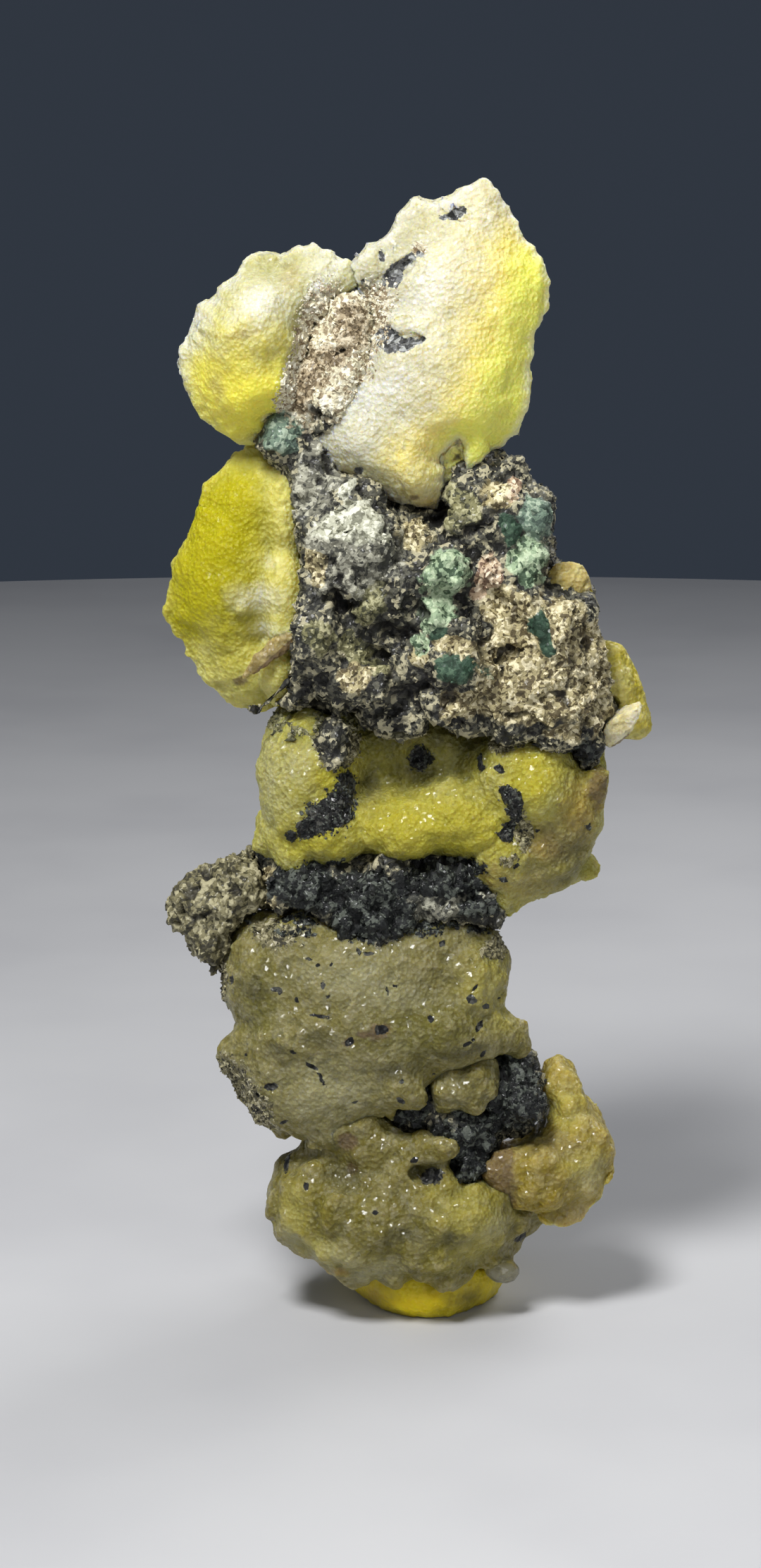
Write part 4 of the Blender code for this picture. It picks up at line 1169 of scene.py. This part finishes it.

# %% [markdown]
# ### Small plates and chips
# An amber chip, a fin and a white blade stand at the right rim, and a thin splinter leans on the
# foot of the fan. Flat cards would do from the front, but these show their edges from the side,
# so they are skins too. The two plates get a dark lower edge.

# %% Small pieces at the right rim and under the fan
DARK_FADE = 0.4                       # mm
BLADE_EDGE = [
    (18.2, 61.6), (19.6, 61), (21.4, 63.2), (22.8, 66), (21.8, 65.8), (20, 64.8), (18.8, 63.6),
]
SPLINTER = [((-16, -8.8, 70.8), (3.6, 0.7, 1.3), 42), ((-14.4, -8.6, 72.2), (2, 0.8, 1.4), 42)]
SPLINTER_EDGE = [
    (-18.9, 68.5), (-17.2, 69.4), (-15.6, 70.6), (-14.2, 71.4), (-13, 72.6), (-12.6, 73.8),
    (-14.2, 73.7), (-15.8, 72.7), (-17.2, 71.2),
]
ACROSS = (0.67, -0.74)                # the way across both plates, from the upper edge to the lower
PLATES = {
    # piece              edge           where its dark lower edge starts, in mm across
    "white_blade_plate": (BLADE_EDGE, 0.8),
    "fan_splinter": (SPLINTER_EDGE, 0.1),
}
for name, node, buds, pale, deep, slot in (
    ("rim_fin_brucite", "rim_fin", [], (0.60, 0.54, 0.16), (0.56, 0.47, 0.05), "yellow_brucite"),
    (
        "amber_chip", "rim_chip", [((14.6, -7.2, 78.2), (2.6, 0.9, 2.5), 25)],
        (0.66, 0.60, 0.26), (0.50, 0.39, 0.12), "amber_brucite",
    ),
    ("white_blade_plate", "white_blade", [], (0.80, 0.77, 0.60), (0.66, 0.58, 0.30), "white_brucite"),
    ("fan_splinter", None, SPLINTER, (0.38, 0.30, 0.11), (0.22, 0.16, 0.05), "amber_brucite"),
):
    small = grow_skin(name, node, cell=0.22, buds=buds, smoothing=1)
    if name in PLATES:
        edge, dark = PLATES[name]
        fit_rim(small, edge, rounds=0)
        # no painted glow along the rims of the plates
        small.paint("rim", np.zeros(len(small.at)))
        lower = (small.at[:, (0, 2)] - edge[0]) @ ACROSS
        small.paint("umber", soft_step(lower, dark, dark + DARK_FADE))
    roughen(small, swell=0.15, size=1.8, faces=0.9, depth=0.07, seed=51)
    small.paint("deep", 0.5 + 0.5 * clouds(small.at, 2.0, 53, layers=2))
    dress(small, brucite(name + "_wax", pale, deep, small, glow=0.8))

# %% [markdown]
# ### The body
# Under the belt hangs a large crust of pale olive brucite. It is cloudy wax with dark specks and
# short cracks, a crumbly yellow corner at the right and a grey, gritty side at the lower left.
# The cracks are painted and sunk a little; as cuts they would be far finer than its skin.

# %% Lumps and marks of the body
BODY_MASKS = {
    "deep": [(0, 33, 5, 3.4), (-17, 35, 2.2, 4)],
    "mist": [(-8, 38.6, 5, 2), (-10, 26, 4, 3), (-3, 36.8, 3, 1.4)],
    "straw": [(6.8, 37.2, 2.7, 3.2), (8.2, 33.6, 1.4, 2)],
    "shade": [
        (-17.6, 36.6, 1.8, 1.4), (-10.6, 32, 2.4, 1.2), (4, 30.4, 3, 1, 10), (-3, 28.6, 2.6, 1),
        (-14.6, 30.4, 1.4, 1),
    ],
    "umber": [(-4.7, 33, 1.3, 1.1), (-6.2, 32.7, 0.8, 0.5), (-7.7, 31.8, 0.6, 0.7, -30)],
    "crust": [
        (-18.4, 24.5, 2.6, 4.4, 30), (-21, 35.9, 0.9, 2.9), (7.6, 40.6, 1.4, 1.2),
        (-15, 41.8, 3, 1.2),
    ],
    "black": [
        (-4.4, 33.2, 0.7, 0.6), (-7.6, 31.8, 0.5, 0.6, -30), (-10.8, 34.3, 1.3, 0.22, -5),
        (-11.7, 28.8, 0.8, 0.25, -25), (-10.6, 27.5, 1, 0.22, -55), (-15.8, 26.5, 0.6, 0.5),
        (-15.5, 36.8, 0.5, 0.3), (-11.8, 40.3, 0.3, 0.2), (1.8, 41.5, 0.5, 0.4),
        (0.9, 34.3, 0.3, 0.4), (5, 36.1, 0.8, 0.4, -50), (5.7, 32.8, 0.5, 0.4, 40),
        (-13.2, 30.6, 0.4, 0.3, -30), (-20.1, 36.7, 0.4, 0.5), (-10, 36.4, 0.25, 0.25),
        (-14.1, 43.6, 0.7, 0.4), (4.6, 31.6, 0.9, 0.2, 30), (-17.6, 23.4, 0.5, 0.4),
    ],
}
OLIVE_PALE = (0.208, 0.182, 0.054)
OLIVE_DEEP = (0.160, 0.143, 0.024)
BODY_LUMPS = [
    ((-6, -9.2, 37.4), (10.5, 4.8, 6.4)), ((-5.6, -9.2, 32), (11.5, 5.2, 8)),
    ((-10, -8.6, 26), (8.5, 4.6, 6), 10), ((0.5, -9, 32), (8, 5, 5.4)),
    ((-17, -6, 36), (3.8, 4.6, 5.4)), ((-12, -8.2, 41.2), (4.6, 3.6, 3.2)),
    ((0.5, -8.2, 41.4), (5.6, 3.8, 2.8)),
]
print("the body has", len(BODY_LUMPS), "lumps and these marks:", *BODY_MASKS)

# %% The body
SPECKS = 26                           # strewn at random, besides the ones in chosen places
LEAST_SPECK = (-19, 20.5, 0.15, 0.15, 0)
MOST_SPECK = (8, 42, 0.6, 0.4, 180)
body = grow_skin(
    "body_brucite", "body_crust", cell=0.29,
    buds=BODY_LUMPS + buds_on("body_crust", 260, (0.5, 1.4), seed=9),
)
pressed(body, share=0.7, rounds=160)
body.soften(3)
roughen(body, swell=0.25, size=2.6, faces=1.4, depth=0.07, seed=61)
BODY_MASKS["black"] += np.random.default_rng(89).uniform(LEAST_SPECK, MOST_SPECK, (SPECKS, 5)).tolist()
paint_marks(body, BODY_MASKS, bend=0.35)
body.push(-SLIT_DEEP * soft_step(body.painted["black"], 0.5, 0.7))
body_wax = brucite(
    "body_wax", OLIVE_PALE, OLIVE_DEEP, body, milk=0.22, depth=0.34, rough=0.14, gloss=0.35,
)
dress(body, body_wax)

# %% [markdown]
# ### The lobes by the foot
# The lowest lobes are lumpy and glassy: round crystal heads that have grown together. The heads
# are pushed out and then softened, so that the cracks between them close up; left sharp, they
# would look like stone. The foot crust has painted shade in its hollows, a frosted patch and an
# amber rim.

# %% Marks, edge and lumps of the lobes by the foot
FOOT_MASKS = {
    "deep": [(-10, 12, 5, 4), (0, 9, 8, 4), (6, 12, 4, 4)],
    "straw": [
        (-13.4, 12.6, 1.6, 2.4), (4.6, 14, 4, 2.6, -15), (-11, 8.6, 3, 1.4, -20),
        (5.8, 10.2, 4, 3.4),
    ],
    "mist": [
        (-5.3, 6.5, 2.2, 1.4), (7.9, 4.9, 1.5, 1.1), (-8.6, 8.2, 2.4, 1, -15),
        (-13.6, 9.4, 1.6, 1, -40), (-10.8, 7.2, 1.6, 0.9, -25), (7.6, 11.4, 1.4, 1.2),
    ],
    "amber": [(-10.3, 5.6, 1.6, 0.6, -25), (-8.6, 6.4, 1, 0.5)],
    "umber": [(-7.9, 20.1, 1.1, 1.2), (-7.2, 17.1, 0.6, 0.9)],
    # painted shade in the hollows of the foot crust
    "shade": [
        (0.4, 17.1, 2.6, 1.6, -10), (-2, 11, 2.4, 0.9), (3, 10.4, 1.6, 1.2), (-8, 16.4, 2.6, 1.4),
    ],
    "black": [
        (-14.5, 17.2, 0.5, 1.2, -10), (-12.2, 15.3, 0.4, 0.4), (-4.8, 13.4, 0.4, 0.3),
        (1.1, 16.5, 1.4, 0.8, 20), (-1.1, 18.6, 0.5, 0.3), (10.4, 8, 0.6, 0.9, 20),
    ],
}
SIDE_MASKS = {
    "deep": [(14, 14, 5, 5)],
    "tea": [(14.1, 18.8, 2.9, 1.5), (16.4, 11.4, 2, 1.6)],
    "mist": [(17.6, 15.6, 1.6, 1.8), (13.4, 10.4, 1, 0.8)],
    "straw": [(15, 22.4, 2, 2.4), (16.4, 17.4, 2, 1.6)],
}
SIDE_EDGE = [
    (0, 27), (11, 27), (13.4, 27.4), (15, 27), (16, 26), (17, 24), (17.6, 22.2), (19.3, 20.6),
    (20.5, 17.6), (20.4, 16), (19.2, 14.6), (19, 13.2), (17.6, 11.8), (16.8, 10.6), (14.5, 10.2),
    (12.4, 11), (11, 12), (0, 12),
]
FOOT_BEADS = [
    ((-15.2, -8, 12), 1.7), ((-14.2, -8.6, 9.8), 1.9), ((-12.2, -9, 8.2), 1.8),
    ((-9.6, -9.8, 7), 1.9), ((-6.4, -10.6, 6.2), 2), ((-3, -11, 5.6), 1.8), ((0.6, -11, 5.8), 1.6),
    ((4, -10.6, 6.2), 1.6), ((7, -9.6, 7), 1.7), ((10, -7.6, 10.4), 1.9), ((2.4, -11.6, 15.6), 1.8),
    ((0.2, -12.2, 13.6), 2), ((3, -12.4, 12.4), 2.3), ((5.4, -11.4, 14), 2),
    ((6.8, -10.8, 10.6), 2.2), ((-4.6, -12.2, 13), 2.2), ((-8.4, -11.4, 11.4), 2.4),
    ((-11.6, -9.8, 14), 2.2),
]
SIDE_LUMPS = [
    ((8.8, -9.4, 16.4), (3, 2.2, 2.6)),           # the tan tip that lies on the dark web
    ((12.4, -8.8, 15.8), (4.4, 3, 4.4)),
    ((15.6, -7, 16.8), (4.4, 3.6, 5.6)),
]
print("the foot crust has", len(FOOT_BEADS), "beads and these marks:", *FOOT_MASKS)

# %% The three lobes
for name, node, lumps, buds, masks, pale, deep in (
    ("pocket_brucite", "pocket_lobe", [], 30, {}, OLIVE_PALE, OLIVE_DEEP),
    (
        "side_brucite", "side_lobe", SIDE_LUMPS, 70,
        SIDE_MASKS, (0.36, 0.28, 0.05), (0.28, 0.21, 0.016),
    ),
    (
        "foot_crust_brucite", "foot_crust", [(at, (size,) * 3) for at, size in FOOT_BEADS], 50,
        FOOT_MASKS, (0.195, 0.166, 0.034), (0.172, 0.146, 0.012),
    ),
):
    grown = lumps + buds_on(node, buds, (1.0, 2.3), seed=9, sunk=0.5)
    lobe = grow_skin(name, node, cell=0.29, buds=grown, smoothing=4)
    if node == "side_lobe":
        fit_rim(lobe, SIDE_EDGE)
        # a weaker painted glow along the rim of the side lobe
        lobe.paint("rim", 0.4 * lobe.painted["rim"])
        lobe.paint("umber", 0.75 * soft_step(-lobe.at[:, 0], -12.0, -8.5))
    lobe.push(0.7 * (heads(lobe.at, 3.2, 62) - 0.6))
    lobe.soften(6)
    roughen(lobe, swell=0.25, size=2.2, faces=1.4, depth=0.06, seed=61)
    paint_marks(lobe, masks, bend=0.35)
    wax = brucite(name + "_wax", pale, deep, lobe, milk=0.24, depth=0.35, rough=0.15, gloss=0.4)
    dress(lobe, wax)

# %% [markdown]
# ### The foot lobe
# The piece stands on a small lobe of bright, even yellow. Buds would break up its smooth outline,
# so it gets only broad, soft faces, and it keeps the flat cut it stands on.

# %% The foot lobe
stand = grow_skin("foot_brucite", "foot_lobe", cell=0.32)
roughen(stand, swell=0.15, size=2.5, faces=2.6, depth=0.1, seed=67)
STAND_MASKS = {
    # lemon: the yellow of the flat facet, brightened as a painted highlight; shade: painted shade
    "lemon": [(-0.7, 2, 2.1, 1.1, 5)],
    "amber": [(-5, 2, 1.8, 1.4)],
    "shade": [(5, 2, 2.6, 1.6)],
}
paint_marks(stand, STAND_MASKS)
stand_wax = brucite("foot_brucite_wax", (0.66, 0.53, 0.02), (0.78, 0.60, 0.01), stand, milk=0.03)
dress(stand, stand_wax)

# %% [markdown]
# ### A clear bead
# One bead on the foot crust is clear enough to look through. Wax that scatters light inside would
# stay cloudy, so this one passes light straight in, bends it and lets it out again.

# %% A clear bead on the foot crust
bead = grow_skin("clear_bead", None, cell=0.2, buds=[((8.4, -8.8, 5.4), (2, 1.8, 1.5), -15)])
bead.push(0.12 * clouds(bead.at, 1.6, 68))
clear = Finish("clear_brucite", (0.80, 0.78, 0.60))
clear.coat((0.62, 0.58, 0.36), clear.step(clear.noise(0.9, 3.0), 0.45, 0.70))
clear.relief(clear.noise(0.5, 3.0), 0.06)
clear_wax = clear.done({"Roughness": 0.12, "Transmission Weight": 0.85, "IOR": 1.57})
dress(bead, clear_wax)

# %% [markdown]
# ### The knob
# At the left sits a knob of dry, tan crust, full of pits. It is stone rather than wax, so it wears
# the finish of the rock. Crowded heads make its grit, and its lowest clouds are pushed in as pits,
# which is quicker than cutting each pit and looks as natural.

# %% The knob
PIT_DEEP = 0.8                        # mm
knob = grow_skin(
    "knob_crust", "side_knob", cell=0.28, buds=buds_on("side_knob", 220, (0.4, 0.9), seed=19, sunk=0.4),
)
grit = heads(knob.at, 0.9, 63)
pits = soft_step(clouds(knob.at, 1.6, 69), 0.25, 0.6)
knob.push(
    0.3 * (grit - 0.6) + 0.18 * broken(knob.at, 0.7, 64) + 0.35 * clouds(knob.at, 2.5, 65)
    - PIT_DEEP * pits
)
knob.paint("lace", np.ones(len(knob.at)))
knob.paint("tone", cell_number(crowd(knob.at, 0.9, 63)[0], 66))
# painted shade in the cracks of the grit and in the pits
knob.paint("hollow", np.maximum(0.7 * soft_step(-grit, -0.45, -0.15), pits))
dress(knob, rock_finish)

# %% [markdown]
# ### Grains on the crusts and along the seams
# Where rock and brucite meet, both are sprinkled with crumbs of rock. The grains go where the
# crusts are painted and along the seams, so that no two pieces meet in a clean line. Painting
# alone would stay flat from the side.

# %% Grains on the crusts and along the seams
SEAM_SHARE = 0.65                     # seams get fewer grains than crusts


def seam(skin, low, high, seed):
    """Where the front of a skin comes near an edge: 1 beyond the height high, 0 before low."""
    near = soft_step(skin.at[:, 2], low, high) * soft_step(-skin.out[:, 1], -0.3, 0.2)
    return SEAM_SHARE * (near * soft_step(clouds(skin.at, 1.5, seed), -0.3, 0.3))


belt.paint("top_seam", seam(belt, 61.6, 63.6, 81))
belt.paint("foot_seam", seam(belt, 51.5, 49.0, 83) * soft_step(belt.at[:, 0], 9.0, 6.0))
rock.paint("band", soft_step(zones["blue"], 0.4, 0.6) * front)
body.paint("top_seam", seam(body, 40.6, 43.0, 85))

for name, skin, mask, kind, count, sizes, seed in (
    ("crown_crust_grains", crown, "crust", "neck", 1700, (0.12, 0.40), 23),
    ("shoulder_crust_grains", shoulder, "crust", "neck", 1900, (0.12, 0.40), 25),
    ("neck_grains", rock, "neck", "neck", 2600, (0.12, 0.36), 27),
    ("band_grains", rock, "band", "blue", 2600, (0.14, 0.50), 41),
    ("belt_top_grains", belt, "top_seam", "olive", 900, (0.16, 0.55), 35),
    ("belt_foot_grains", belt, "foot_seam", "blue", 900, (0.16, 0.50), 37),
    ("body_top_grains", body, "top_seam", "blue", 900, (0.16, 0.50), 39),
    ("belt_crust_grains", belt, "crust", "lace", 1500, (0.16, 0.42), 29),
    ("belt_black_grains", belt, "black", "blue", 700, (0.16, 0.40), 31),
    ("body_crust_grains", body, "crust", "lace", 1400, (0.18, 0.45), 33),
):
    wanted = soft_step(skin.painted[mask], 0.34, 0.62)
    grains = scatter(name, skin, wanted, count, sizes, seed)
    if kind not in grains.painted:
        grains.paint(kind, np.ones(len(grains.at)))
    dress(grains, rock_finish)
